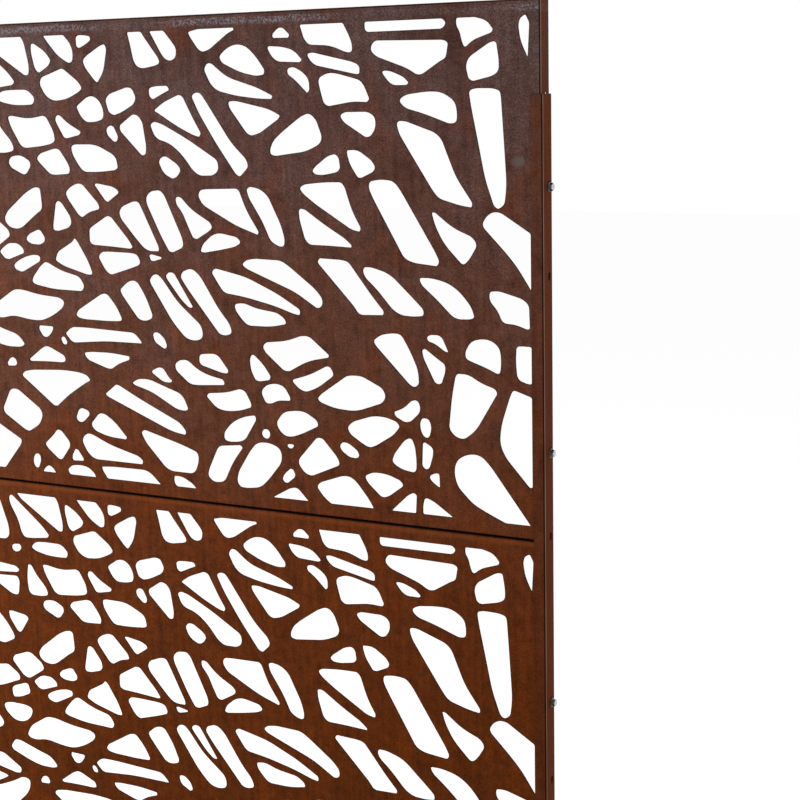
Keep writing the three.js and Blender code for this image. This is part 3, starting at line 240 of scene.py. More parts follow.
    [1041, 420, 1024, 414, 990, 414, 972, 419, 978, 437, 995, 449.5, 1018, 450.5, 1038, 433],
    [1152, 371, 1130, 379, 1104, 390, 1088, 403, 1092, 413, 1112, 414, 1136, 397, 1158, 380],
    # seventh row
    [42.5, 500, 41, 477, 30, 476, 17, 476.5, 17, 532, 24, 532, 40, 526.5],
    [121, 490, 112, 474, 96, 469, 80, 469.5, 65, 480, 62.5, 500, 65, 523, 86, 513, 108, 505.5,
      120, 501],
    [182, 471, 175, 467, 157, 466.5, 145, 493, 152, 492.5, 168, 481.5, 180, 478],
    [190, 491, 184, 487.5, 160, 504.5, 151, 510, 151, 521, 158, 541, 169, 541, 188, 503],
    [269, 480, 256, 471, 236, 467.5, 222, 468.5, 208, 492, 195, 521, 194, 543, 203, 549,
      211, 545, 262, 493, 268, 486],
    [463, 501, 456, 493, 418, 489, 392, 479.5, 378, 479.5, 344, 507, 345, 512, 382, 519.5,
      416, 538, 426, 537, 458, 510],
    [510, 436, 492, 433, 470, 441, 432, 446, 419, 455, 416, 464, 445, 470, 488, 470, 500, 458,
      509, 446],
    [667, 493, 664, 488, 654, 487.5, 642, 498, 638, 511, 645, 516, 664, 505],
    [817.5, 467, 812, 458.5, 763, 430, 751, 428.5, 733, 449, 721, 474, 750, 475.5, 800, 474.5,
      813, 472],
    [842, 499, 828, 487, 800, 486.5, 702, 490.5, 692, 500, 685, 509, 760, 509, 828, 515,
      838, 504],
    [852.5, 508, 847, 503.5, 842, 505, 837, 513, 839, 518.5, 848, 519],
    [896.5, 495, 895, 487.5, 863, 488, 867, 498, 877, 508, 888, 508.5],
    [992, 472, 982, 453, 943, 429, 925, 428.5, 888, 436, 848, 439, 836.5, 446, 842, 457,
      862, 470.5, 888, 481, 912, 480.5, 948, 474.5, 972, 480, 986, 478],
    [1032, 501, 1021, 485.5, 1008, 485, 962, 499.5, 940, 505, 925, 523, 938, 528, 966, 528.5,
      990, 522.5, 1028, 508.5],
    [1108, 452, 1094, 438, 1066, 434, 1050, 444, 1042, 455, 1044, 464, 1058, 471.5, 1072, 475,
      1096, 472],
    [1134, 483, 1112, 477, 1098, 489, 1095, 499, 1104, 507, 1124, 505, 1138, 494],
    [1202, 486, 1176, 489, 1156, 494, 1149, 507, 1160, 523, 1182, 534, 1202, 534],
    # eighth row
    [415, 550, 380, 539.5, 350, 524, 343, 525, 335.5, 538, 366, 560, 388, 568.5, 400, 564],
    [487, 522, 483, 514, 477, 514, 461, 528, 448, 547, 451, 553.5, 470, 557, 478, 555.5,
      486, 539],
    [581, 532, 580, 519, 565, 517, 545, 516, 525, 542, 527, 548, 538, 548, 577, 537.5],
    [628, 538, 618, 530.5, 602, 528.5, 584, 543, 565, 551, 535, 557, 533, 567, 585, 570.5,
      600, 570, 626, 549],
    [677, 553, 659, 544.5, 649, 545, 639, 560, 631, 566, 638, 570, 652, 569.5],
    [808, 529, 790, 526.5, 750, 526, 713, 530, 714, 537, 735, 544, 752, 555, 763, 553.5,
      800, 541.5],
    [922, 547, 893, 526, 882, 521.5, 873, 524, 845, 536.5, 843, 547, 852, 549.5, 885, 549.5,
      918, 551],
    [970, 556, 963, 547, 955, 544.5, 949, 548, 946, 556, 951, 561, 968, 562],
    [1086, 534, 1076, 521.5, 1053, 514, 1010, 540, 1012, 551, 1024, 553.5, 1083, 542.5],
    [1142, 524, 1128, 519, 1109, 524, 1105, 535, 1124, 547, 1138, 568, 1134, 612, 1146, 633,
      1160, 627, 1164, 590, 1157, 550],
    # ninth row
    [48, 543, 43, 541, 17, 549.5, 17, 684, 22, 685, 60, 642, 68.5, 622, 66, 595, 52, 552],
    [137, 527, 133, 522, 115, 522, 96, 533.5, 73, 541, 69, 548, 104, 606, 124, 621.5, 138, 618.5,
      149, 607, 143, 556],
    [196, 601, 192, 592.5, 180, 592.5, 175, 605, 178, 619, 183, 624.5, 190, 622, 195, 613],
    [239, 587, 222, 580.5, 208, 567, 197, 566, 192.5, 578, 195, 587, 210, 601, 220, 603,
      236, 595],
    [369, 576, 362, 568.5, 316, 537, 306, 535.5, 290, 535.5, 255, 552, 249, 565, 256, 576,
      302, 592.5, 340, 590, 364, 582],
    [470, 572, 458, 560, 440, 556.5, 425, 560.5, 415, 577, 415, 584, 438, 585, 450, 591,
      461, 591],
    [571, 587, 566, 580.5, 530, 577, 506, 569.5, 496, 573, 486, 592, 486, 599, 510, 607,
      535, 609, 552, 605.5],
    [714, 574, 700, 566, 678, 565, 648, 575.5, 614, 586, 604, 611, 612, 614.5, 628, 613,
      676, 587, 708, 578.5],
    [770, 597, 745, 578, 738, 579.5, 700, 598.5, 622, 633.5, 611, 647, 613, 654.5, 640, 650.5,
      762, 602],
    [941, 576, 934, 568, 915, 564, 850, 560.5, 818, 562.5, 802, 566.5, 794, 576, 804, 580,
      840, 602, 868, 624.5, 876, 624.5],
    [1122, 560, 1108, 549, 1082, 552, 1048, 558.5, 1041, 562, 1060, 573, 1080, 581, 1098, 585,
      1118, 576],
    [1202, 552, 1180, 548, 1175, 562, 1182, 600, 1176, 638, 1186, 651, 1202, 648],
    # tenth row
    [194, 667, 192, 631, 187, 629, 173, 637, 174, 650, 180, 669, 187, 673],
    [244, 664, 240, 652, 222, 629, 209, 623, 203, 638, 201, 660, 202, 680, 226, 676, 238, 670],
    [319, 617, 308, 607, 272, 595, 250, 596, 233, 601.5, 227, 609, 238, 623, 270, 643, 281, 647,
      292, 642, 314, 628],
    [333, 647, 327, 640, 316, 641, 300, 652, 297, 661, 303, 665.5, 316, 665, 330, 655],
    [410, 679, 372, 637, 361, 637, 336, 665, 330.5, 678, 384, 701, 396, 697],
    [426, 653.5, 421, 651, 411.5, 651.5, 412.5, 657, 419, 660.5, 424, 658.5],
    [444, 620, 430, 600.5, 404, 597, 390, 598, 370, 609.5, 366, 619.5, 398, 635, 415, 641,
      428, 641, 439, 632],
    [471, 637, 466, 630.5, 457, 631, 453, 638, 456, 646, 463, 648.5, 470, 644],
    [541, 656, 541, 643, 524, 624, 500, 613.5, 480, 610, 478, 618, 500, 652, 512, 657,
      530, 658.5],
    [702, 655, 693, 650, 620, 669.5, 590, 680, 590, 696, 599, 717.5, 652, 717, 694, 672],
    [803, 650, 784, 629.5, 772, 629, 752, 641, 728, 667, 732, 671.5, 768, 669.5, 795, 661],
    [832, 641, 826, 627, 818, 622.5, 804, 626.5, 801, 634, 814, 646.5, 822, 649.5, 829, 647],
    [987, 636, 969, 603, 962, 599.5, 950, 599.5, 904, 631, 900, 642, 908, 659, 933, 673.5,
      942, 671, 984, 645],
    [1118, 606, 1104, 593, 1090, 590, 1062, 581.5, 1030, 568, 1012, 557.5, 1000, 557, 992, 562,
      994, 577, 1003, 591, 1022, 608, 1046, 634, 1076, 640, 1104, 630],
    [1126, 653, 1098, 648, 1062, 658, 1053, 672, 1060, 689, 1078, 693, 1112, 676],
    [1202, 664, 1172, 663, 1144, 652, 1131, 674, 1134, 693, 1156, 702, 1202, 688],
    # bottom row
    [142, 672, 138, 653, 120, 641.5, 98, 640.5, 82, 656, 19, 741, 62, 741, 92, 728, 112, 718,
      137, 693],
    [183, 682, 176, 676.5, 164, 673.5, 163.5, 698, 168, 697, 179, 689],
    [194, 741, 194, 727, 190, 713, 174, 719, 142, 741],
    [247, 741, 218, 713.5, 208, 708.5, 202, 712, 204, 741],
    [292, 691, 276, 683, 252, 683.5, 229, 692, 223, 700, 250, 720, 262, 723.5, 286, 702],
    [376, 716, 369, 708, 328, 693.5, 314, 693.5, 303, 702, 283, 727, 275, 741, 352, 741,
      364, 732],
    [456, 741, 422, 722, 409, 720, 389, 741],
    [437, 709, 433, 701, 421, 690.5, 415, 691.5, 410, 703, 427, 716.5, 434, 715],
    [521, 722, 518, 706, 494, 669, 480, 653.5, 456, 652, 435, 661, 434, 682, 460, 713, 476, 728,
      500, 731.5, 515, 731],
    [576, 718, 573, 706, 560, 680, 552, 665, 510, 660.5, 505, 665, 526, 692, 543, 726,
      565, 727.5],
    [642, 728, 640, 722.5, 624, 722.5, 604, 733, 597, 741, 637, 741, 641, 737],
    [786, 720.5, 760, 718.5, 690, 718, 666, 741, 776, 741, 785, 727],
    [823, 681, 819, 671, 808, 665, 798, 667, 764, 681.5, 708, 696, 699, 703, 701, 711,
      800, 710.5, 814, 699],
    [857, 732, 848, 724, 830, 721.5, 812, 724, 800, 734, 797, 741, 853, 741, 856, 737],
    [846, 717, 846, 707, 838, 694, 831, 695.5, 817, 715.5],
    [902, 691, 882, 674, 874, 664, 864, 664.5, 843, 688, 866, 716.5, 874, 717.5, 897, 699],
    [911, 741, 905, 733, 895, 727, 886, 733, 880.5, 741],
    [930, 724, 927, 713, 919, 708.5, 912, 712, 911, 722, 917, 735, 924, 737, 929, 731],
    [1040, 700, 1034, 668, 1018, 651, 949, 688, 952, 697, 990, 741, 1032, 741],
    [1117, 700, 1098, 699, 1068, 712, 1058, 726, 1061, 741, 1130, 741, 1131, 722],
    [1202, 706, 1172, 713, 1152, 720, 1146, 730, 1149, 741, 1202, 741],
]
DRAWN = [np.reshape(flat, (-1, 2)).astype(float) for flat in CELLS]
FIELD_LOW = np.min([corners.min(axis=0) for corners in DRAWN], axis=0)
FIELD_HIGH = np.max([corners.max(axis=0) for corners in DRAWN], axis=0)
FIELD_CORNER = np.array([PANEL_WIDTH / 2 - MARGINS["right"], PANEL_HEIGHT - MARGINS["top"]])
FIELD_SIZE = np.array([PANEL_WIDTH - MARGINS["right"] - MARGINS["left"],
                       PANEL_HEIGHT - MARGINS["top"] - MARGINS["bottom"]])
WELD_WITHIN = 0.005 * MM  # points nearer than this become one
SLIVER = 0.002 * MM
SHARP_FROM = math.radians(28)


def unit(vectors):
    """Vectors divided by their own length."""
    return vectors / np.linalg.norm(vectors, axis=-1, keepdims=True)


def cell_loop(drawn):
    """Cut edge of one cell, anticlockwise, from its drawn corners.

    Both edges of a corner move inwards by CUT_INSET, and the corner C goes to where they meet.
    Between S and E, which lie `reach` from C on the two edges, the cut follows
    (1-t)^2 S + 2 t (1-t) C + t^2 E.
    """
    after = np.roll(drawn, -1, axis=0)
    cross = drawn[:, 0] * after[:, 1] - after[:, 0] * drawn[:, 1]
    along = unit(after - drawn)
    two = np.sign(cross.sum()) * np.stack([-along[:, 1], along[:, 0]], axis=1)
    on_line = (drawn == after) & ((drawn == FIELD_LOW) | (drawn == FIELD_HIGH))
    border = on_line.any(axis=1)
    move_two = np.where(border, 0.0, CUT_INSET)
    one, move_one = np.roll(two, 1, axis=0), np.roll(move_two, 1)
    turn = one[:, 0] * two[:, 1] - one[:, 1] * two[:, 0]
    straight = np.abs(turn) < NEARLY_STRAIGHT
    shift_x = move_one * two[:, 1] - move_two * one[:, 1]
    shift_y = move_two * one[:, 0] - move_one * two[:, 0]
    shift = np.stack([shift_x, shift_y], axis=1) / np.where(straight, 1.0, turn)[:, None]
    beside = one * ((move_one + move_two) / 2)[:, None]
    corner = drawn + np.where(straight[:, None], beside, shift)

    back, ahead = np.roll(corner, 1, axis=0) - corner, np.roll(corner, -1, axis=0) - corner
    inside = np.arccos(np.clip(np.sum(unit(back) * unit(ahead), axis=1), -1, 1))
    at_border = border | np.roll(border, 1)
    reach = np.where(at_border, BORDER_ROUND, ROUND * np.sin(inside / 2))
    reach = np.minimum(reach, np.linalg.norm(back, axis=1) / 2)
    reach = np.minimum(reach, np.linalg.norm(ahead, axis=1) / 2)[:, None]
    start, end = corner + unit(back) * reach, corner + unit(ahead) * reach
    t = ((np.arange(CORNER_POINTS) + 0.5) / CORNER_POINTS)[None, :, None]
    curve = (1 - t) ** 2 * start[:, None] + 2 * t * (1 - t) * corner[:, None]
    points = (curve + t ** 2 * end[:, None]).reshape(-1, 2)
    points = FIELD_CORNER - (points - FIELD_LOW) / (FIELD_HIGH - FIELD_LOW) * FIELD_SIZE
    return points if cross.sum() > 0 else points[::-1]


def rectangle(across, up):
    """Outline anticlockwise from two lists of stations, with a point at each station."""
    across, up = np.array(across), np.array(up)
    sides = [
        (across[:-1], np.full(len(across) - 1, up[0])),
        (np.full(len(up) - 1, across[-1]), up[:-1]),
        (across[:0:-1], np.full(len(across) - 1, up[-1])),
        (np.full(len(up) - 1, across[0]), up[:0:-1]),
    ]
    return np.concatenate([np.stack(side, axis=1) for side in sides])


def round_hole(across, up, bore=BORE):
    """Circle of points: middle + bore / 2 (cos a, sin a)."""
    angle = np.linspace(0, 2 * math.pi, BORE_POINTS, endpoint=False)
    return np.stack([across + bore / 2 * np.cos(angle), up + bore / 2 * np.sin(angle)], axis=1)


def widened(loop, by):
    """An anticlockwise loop, each point moved outwards along the mean of its edges' normals."""
    step = unit(np.roll(loop, -1, axis=0) - loop)
    normal = np.stack([step[:, 1], -step[:, 0]], axis=1)
    return loop + by * unit(normal + np.roll(normal, 1, axis=0))


def flat_part(outline, holes, fold, skin):
    """A flat area of sheet: its outline less its holes, in triangles.

    skin(u, v, level) puts plane points on the outer skin (level 0) or the inner one (level 1).
    The edge of each hole has a second ring RIM away, and `rim` falls from 1 to 0 between them.
    `fold` is 0 on a face and 1 on what is folded back from it.
    """
    edges = [widened(hole, EDGE_BREAK) for hole in holes]
    rims = [widened(hole, RIM) for hole in holes]
    loops = [outline] + edges + rims
    ends = np.cumsum([len(loop) for loop in loops])
    rings = [np.arange(end - len(loop), end) for loop, end in zip(loops, ends)]
    cut = rings[: 1 + len(edges)]
    lines = [np.stack([ring, np.roll(ring, -1)], axis=1) for ring in rings[1 + len(edges) :]]
    lines = np.concatenate(lines).tolist() if lines else []
    plane = np.concatenate(loops)
    faces = [ring.tolist() for ring in cut]
    made = delaunay_2d_cdt(plane.tolist(), lines, faces, 1, 1e-6)
    solid = [face for face, loops_round_it in zip(made[2], made[5]) if loops_round_it == [0]]
    rim = np.zeros(len(plane))
    rim[len(outline) : ends[len(edges)]] = 1
    u, v = plane[:, 0], plane[:, 1]
    return skin(u, v, 0), skin(u, v, 1), np.array(solid), rim, np.full(len(plane), float(fold))


def grid_faces(rows, columns):
    """Triangles of a grid of points, numbered row by row."""
    corner = (np.arange(rows - 1)[:, None] * columns + np.arange(columns - 1)).ravel()
    first = np.stack([corner, corner + 1, corner + columns + 1], axis=1)
    second = np.stack([corner, corner + columns + 1, corner + columns], axis=1)
    return np.concatenate([first, second])


def bend_part(stations, place):
    """A square fold: a quarter circle (BEND - r sin a, BEND - r cos a), with a flat strip at
    both ends, carried straight along its stations; r is BEND outside and BEND - SHEET inside.
    place(inwards, depth, along) gives the points.
    """
    angle = np.linspace(0, math.pi / 2, BEND_STEPS + 1)
    skins = []
    for radius in (BEND, BEND - SHEET):
        inwards = np.r_[BEND + STRIP, BEND - radius * np.sin(angle), BEND - radius]
        depth = np.r_[BEND - radius, BEND - radius * np.cos(angle), BEND + STRIP]
        along, index = np.meshgrid(stations, np.arange(len(depth)), indexing="ij")
        skins.append(place(inwards[index].ravel(), depth[index].ravel(), along.ravel()))
    fold = np.tile(np.r_[0, np.linspace(0, 1, len(angle)), 1], len(stations))
    return *skins, grid_faces(len(stations), len(depth)), np.zeros(len(fold)), fold


def new_piece(name, points, faces, **marks):
    """A named mesh object with outward faces, sharp edges at its corners and smooth bends.
    `marks` are values at its points that the finish reads."""
    mesh = bpy.data.meshes.new(name)
    mesh.from_pydata((points * MM).tolist(), [], faces)
    for mark, values in marks.items():
        mesh.attributes.new(mark, "FLOAT", "POINT").data.foreach_set("value", values)
    shell = bmesh.new()
    shell.from_mesh(mesh)
    bmesh.ops.remove_doubles(shell, verts=shell.verts, dist=WELD_WITHIN)
    bmesh.ops.dissolve_degenerate(shell, edges=shell.edges, dist=SLIVER)
    bmesh.ops.recalc_face_normals(shell, faces=shell.faces)
    shell.to_mesh(mesh)
    shell.free()
    mesh.shade_smooth()
    mesh.set_sharp_from_angle(angle=SHARP_FROM)
    piece = bpy.data.objects.new(name, mesh)
    bpy.context.scene.collection.objects.link(piece)
    return piece


def sheet_piece(name, parts):
    """Closed sheet from its flat parts and bends.

    Points of the parts that lie in one place become one point. Each edge that only one
    triangle uses is free, and gets a wall from skin to skin, bevelled by EDGE_BREAK.
    """
    starts = np.cumsum([0] + [len(part[0]) for part in parts])
    outer = np.concatenate([part[0] for part in parts])
    inner = np.concatenate([part[1] for part in parts])
    faces = np.concatenate([part[2] + start for part, start in zip(parts, starts)])
    rim = np.concatenate([part[3] for part in parts])
    fold = np.concatenate([part[4] for part in parts])
    _, first, weld = np.unique(
        np.round(outer, 3), axis=0, return_index=True, return_inverse=True)
    outer, inner, rim, fold = outer[first], inner[first], rim[first], fold[first]
    faces = weld.ravel()[faces]

    sides = np.concatenate([faces, faces[:, [1, 2, 0]], faces[:, [2, 0, 1]]])
    _, place, uses = np.unique(
        np.sort(sides[:, :2], axis=1), axis=0, return_index=True, return_counts=True)
    a, b, c = sides[place[uses == 1]].T
    through = unit(inner - outer)
    away = np.cross(unit(outer[b] - outer[a]), through[a])
    away *= -np.sign(np.sum(away * (outer[c] - outer[a]), axis=1))[:, None]
    push = np.zeros_like(outer)
    np.add.at(push, a, away)
    np.add.at(push, b, away)
    edge = np.unique([a, b])
    push, through = unit(push[edge]), through[edge]
    front_wall = outer[edge] + EDGE_BREAK * (push + through)
    back_wall = inner[edge] + EDGE_BREAK * (push - through)
    count = len(outer)
    front = np.zeros(count, int)
    front[edge] = 2 * count + np.arange(len(edge))
    back = front + len(edge)
    walls = np.concatenate([
        np.stack([a, b, front[b], front[a]], axis=1),
        np.stack([front[a], front[b], back[b], back[a]], axis=1),
        np.stack([back[a], back[b], count + b, count + a], axis=1),
    ])
    points = np.concatenate([outer, inner, front_wall, back_wall])
    cut = np.r_[rim, rim, np.ones(2 * len(edge))]
    fold = np.r_[fold, fold, fold[edge], fold[edge]]
    skins = np.concatenate([faces, faces + count])
    return new_piece(name, points, skins.tolist() + walls.tolist(), cut=cut, fold=fold)


def stack(x, y, z):
    """Three coordinates, each an array or one number, as points."""
    return np.stack(np.broadcast_arrays(x, y, z), axis=1).astype(float)


def panel_piece(name, bottom):
    """A tray: the pierced face, four folds and four returns, with the front at PANEL_FRONT."""
    half = PANEL_WIDTH / 2
    side_line = half - BEND - STRIP
    end_line = side_line - 2 * EDGE_BREAK - FIT
    low_line, high_line = BEND + STRIP, PANEL_HEIGHT - BEND - STRIP
    up = [EDGE_BREAK, low_line, high_line, PANEL_HEIGHT - EDGE_BREAK]
    depths = [BEND + STRIP, PANEL_DEPTH - EDGE_BREAK]
    face_outline = rectangle([-side_line, -end_line, end_line, side_line], [low_line, high_line])
    face_level = [PANEL_FRONT, PANEL_FRONT + SHEET]
    parts = [flat_part(face_outline, [cell_loop(drawn) for drawn in DRAWN], 0,
                       lambda u, v, level: stack(u, face_level[level], v + bottom))]
    side_holes = [round_hole(FIXING_Y - PANEL_FRONT, HOLE_PITCH * k) for k in range(1, 6)]
    seam_holes = [round_hole(x, SEAM_BOLT_DEPTH) for x in SEAM_BOLTS]
    for side in (-1, 1):
        def upright(inwards, depth, along):
            return stack(side * (half - inwards), PANEL_FRONT + depth, bottom + along)

        def level_fold(inwards, depth, along):
            height = PANEL_HEIGHT - inwards if side > 0 else inwards
            return stack(along, PANEL_FRONT + depth, bottom + height)

        parts.append(bend_part(up, upright))
        parts.append(flat_part(rectangle(depths, up), side_holes, 1,
                               lambda u, v, level: upright(level * SHEET, u, v)))
        parts.append(bend_part([-end_line, end_line], level_fold))
        parts.append(flat_part(rectangle([-end_line, end_line], depths), seam_holes, 1,
                               lambda u, v, level: level_fold(level * SHEET, v, u)))
    return sheet_piece(name, parts)


class Coat:
    """A value or colour that varies over a surface: one output socket in a tree of nodes.
    Arithmetic on it adds Math nodes to that tree."""

    def __init__(self, tree, socket):
        self.tree, self.socket = tree, socket

    def math(self, operation, *values):
        return self.tree.node("ShaderNodeMath", {"operation": operation}, dict(enumerate(values)))

    def __add__(self, other):
        return self.math("ADD", self, other)

    def __radd__(self, other):
        return self.math("ADD", other, self)

    def __sub__(self, other):
        return self.math("SUBTRACT", self, other)

    def __rsub__(self, other):
        return self.math("SUBTRACT", other, self)

    def __mul__(self, other):
        return self.math("MULTIPLY", self, other)

    def __rmul__(self, other):
        return self.math("MULTIPLY", other, self)

    def between(self, low, high):
        """0 up to `low`, 1 from `high` on, and a smooth step from one to the other."""
        return self.tree.node("ShaderNodeMapRange", {"interpolation_type": "SMOOTHSTEP"},
                              {"Value": self, "From Min": low, "From Max": high})

    def part(self, axis):
        """One coordinate of a position."""
        return self.tree.node("ShaderNodeSeparateXYZ", {}, {0: self}, "XYZ".index(axis))


class Tree:
    """The nodes of one material, or of the world."""

    def __init__(self, owner):
        owner.use_nodes = True
        self.nodes, self.links = owner.node_tree.nodes, owner.node_tree.links

    def node(self, kind, settings, inputs, output=0):
        """A node of any kind: its settings first, then the values or links of its sockets."""
        made = self.nodes.new(kind)
        for key, value in settings.items():
            if key == "stops":
                ramp = made.color_ramp.elements
                while len(ramp) < len(value):
                    ramp.new(1)
                for stop, (position, colour) in zip(ramp, value):
                    stop.position, stop.color = position, colour
            else:
                setattr(made, key, value)
        for key, value in inputs.items():
            if isinstance(value, Coat):
                self.links.new(value.socket, made.inputs[key])
            else:
                made.inputs[key].default_value = value
        return Coat(self, made.outputs[output]) if len(made.outputs) else None


class Finish(Tree):
    """A material being put together on one Principled shader. The shader's own sockets take
    what is the same all over."""

    def __init__(self, name, fixed):
        self.material = bpy.data.materials.new(name)
        super().__init__(self.material)
        self.shader = self.nodes["Principled BSDF"]
        for socket, value in fixed.items():
            self.shader.inputs[socket].default_value = value
        self.place = self.node("ShaderNodeTexCoord", {}, {}, "Object")

    def cloud(self, size, detail=3.0, stretch=(1, 1, 1), offset=0.0, roughness=0.5):
        """Noise from 0 to 1 with blots about `size` millimetres across."""
        place = self.node("ShaderNodeMapping", {}, {
            "Vector": self.place, "Location": (offset, offset, offset), "Scale": stretch})
        return self.node("ShaderNodeTexNoise", {}, {
            "Vector": place, "Scale": 1 / (size * MM), "Detail": detail, "Roughness": roughness})

    def mark(self, name):
        """The value that a piece's points carry under this name, 0 where there is none."""
        return self.node("ShaderNodeAttribute", {"attribute_name": name}, {}, "Fac")

    def blend(self, amount, under, over, how="MIX"):
        """Colour `over` laid on colour `under` by `amount`."""
        return self.node("ShaderNodeMix", {"data_type": "RGBA", "blend_type": how},
                         {0: amount, 6: under, 7: over}, 2)

    def set(self, socket, value):
        self.links.new(value.socket, self.shader.inputs[socket])

    def bump(self, height, depth):
        """Relief of `depth` millimetres from a height field."""
        self.set("Normal", self.node("ShaderNodeBump", {}, {
            "Distance": depth * MM, "Height": height}))


def paint(code):
    """A colour written as in a drawing program, as linear light."""
    levels = np.array([int(code[k : k + 2], 16) for k in (1, 3, 5)]) / 255
    linear = np.where(levels <= 0.04045, levels / 12.92, ((levels + 0.055) / 1.055) ** 2.4)
    return (*linear.tolist(), 1.0)


RUST = {
    "orange cloud": paint("#6e3009"), "dark cloud": paint("#3a1e12"), "speck": paint("#8b8083"),
    # top band: grey specks with a painted sheen along the top edge
    "top band": paint("#918f97"), "end band": paint("#7d7b82"), "smudge": paint("#686463"),
    # glow is a painted highlight under the seam, and the colour after it is painted shade at the
    # seam
    "folded side": paint("#6b3012"), "glow": paint("#87431c"), "joint": paint("#120905"),
    # the first two colours here are painted shade and a painted highlight on the bends
    "painted_bend_shade": paint("#1b0e09"), "painted_bend_highlight": paint("#a3836f"), "cut edge": paint("#33211c"),
}
RUST_PITS = 0.15  # depth of the pitted surface
SMUDGE_PLACE = (574.5 * MM, 0, 1392 * MM)  # grey smudge near the top right corner
SMUDGE_REACH = (13 * MM, 1, 9 * MM)
END_BAND = (595 * MM, 603 * MM)  # from the middle of the panel, the greyer strip at each end


def rust_finish(name, tones, low, high, grey, seam=None, top_band=False):
    """Brown rust skin on sheet steel. `tones` are (share of the height, colour) between the
    heights low and high. Over them lie orange and dark clouds, fine specks of `grey` strength,
    more of them towards the top, and a grain of pits that also roughens the surface. Each bend
    gets painted shade over its first half and a painted highlight, in streaks, over its second.
    Painted shade darkens the bends and returns within a few millimetres of the height `seam`,
    where the panels meet, and a painted highlight lies on the lower panel just below it.
    `top_band` adds the grey marks of the upper panel: a band of grey specks with a painted sheen
    near its top edge, a greyer strip at each end and a grey smudge.
    """
    coat = Finish(name, {"Specular IOR Level": 0.02})
    level = coat.place.part("Z")
    fold, cut = coat.mark("fold"), coat.mark("cut")

    height = (level - low * MM) * (1 / ((high - low) * MM))
    height = height + (coat.cloud(260, 2.0, offset=3.0) * 0.2 - 0.1)
    skin = coat.node("ShaderNodeValToRGB", {
        "stops": [(share, paint(colour)) for share, colour in tones]}, {0: height})
    warm = coat.cloud(55, 4.0, stretch=(1, 1, 0.7), offset=7.0).between(0.48, 0.72)
    dark = coat.cloud(38, 5.0, offset=1.0).between(0.5, 0.74)
    skin = coat.blend(warm * 0.4, skin, RUST["orange cloud"])
    skin = coat.blend(dark * 0.4, skin, RUST["dark cloud"])
    wide = coat.cloud(90, 4.0, offset=11.0).between(0.32, 0.66)
    specks = coat.cloud(2.0, 3.0, offset=12.0, roughness=0.7).between(0.36, 0.72)
    speckled = height.between(0.42, 1.0) * grey
    skin = coat.blend(specks * (wide * 0.75 + 0.25) * speckled, skin, RUST["speck"])
    blots = coat.cloud(14, 5.0, offset=2.0)
    runs = coat.cloud(8, 3.0, stretch=(1, 1, 0.06), offset=5.0)
    grain = coat.cloud(1.8, 2.0, offset=4.0, roughness=0.7)
    shade = blots * 0.9 + runs * 0.9 + grain * 1.7 - 0.75
    shade = coat.node("ShaderNodeCombineColor", {}, {0: shade, 1: shade, 2: shade})
    skin = coat.blend(1.0, skin, shade, "MULTIPLY")

    if top_band:
        # a band near the top edge: grey specks with a painted sheen over them
        drop = high * MM - level + coat.cloud(45, 2.0, offset=9.0) * (8 * MM)
        band = drop.between(9 * MM, 12 * MM) * (1 - drop.between(17 * MM, 23 * MM))
        rings = coat.cloud(3.0, 4.0, offset=6.0, roughness=0.7).between(0.44, 0.62)
        patch = coat.cloud(150, 2.0, stretch=(1, 1, 0.2), offset=8.5).between(0.32, 0.55)
        skin = coat.blend(band * rings * (patch * 0.6 + 0.1), skin, RUST["top band"])
        across = coat.place.part("X")
        end_band = across.math("ABSOLUTE", across).between(*END_BAND) * rings
        end_band = end_band * (1 - fold.between(0.0, 0.1))
        skin = coat.blend(end_band * 0.22, skin, RUST["end band"])
        smudge = coat.node("ShaderNodeMapping", {"vector_type": "TEXTURE"}, {
            "Vector": coat.place, "Location": SMUDGE_PLACE, "Scale": SMUDGE_REACH})
        smudge = coat.node("ShaderNodeVectorMath", {"operation": "LENGTH"}, {0: smudge}, "Value")
        smudge = 1 - (smudge + coat.cloud(5, 3.0) * 0.8).between(0.9, 1.5)
        skin = coat.blend(smudge * (blots * 0.6 + 0.15), skin, RUST["smudge"])

    skin = coat.blend(fold.between(0.75, 1.0) * (runs * 0.4 + 0.4), skin, RUST["folded side"])
    # painted shade over the first half of each bend
    painted_bend_shade = fold.between(0.02, 0.2) * (1 - fold.between(0.5, 0.66))
    # painted highlight, in streaks, over the second half of each bend
    painted_bend_highlight = fold.between(0.55, 0.7) * (1 - fold.between(0.85, 1.0)) * runs
    if seam is not None:
        below = seam * MM - level
        # glow is a painted highlight on the lower panel just under the seam
        glow = below.between(3 * MM, 5 * MM) * (1 - below.between(6 * MM, 13 * MM))
        skin = coat.blend(glow * 0.4, skin, RUST["glow"])
        # painted shade on the bends and returns within a few millimetres of the seam
        joint = 1 - below.math("ABSOLUTE", below).between(5 * MM, 7 * MM)
        painted_bend_shade, painted_bend_highlight = painted_bend_shade * (1 - joint), painted_bend_highlight * (1 - joint)
        skin = coat.blend(joint * fold.between(0.2, 0.6) * 0.9, skin, RUST["joint"])
    skin = coat.blend(painted_bend_shade * 0.8, skin, RUST["painted_bend_shade"])
    skin = coat.blend(painted_bend_highlight * 1.6, skin, RUST["painted_bend_highlight"])
    skin = coat.blend(cut * 0.6, skin, RUST["cut edge"])
    coat.set("Base Color", skin)
    coat.set("Roughness", blots * 0.3 + grain * 0.2 + 0.36)
    coat.bump(grain * 0.6 + blots * 0.4, RUST_PITS)
    return coat.material


def dress(piece, finish, slot, *nodes):
    """Gives a piece its finish, and lets it ride on the frame in place of its CAD nodes."""
    piece.data.materials.append(finish)
    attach(piece, "root")
    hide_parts(*nodes)


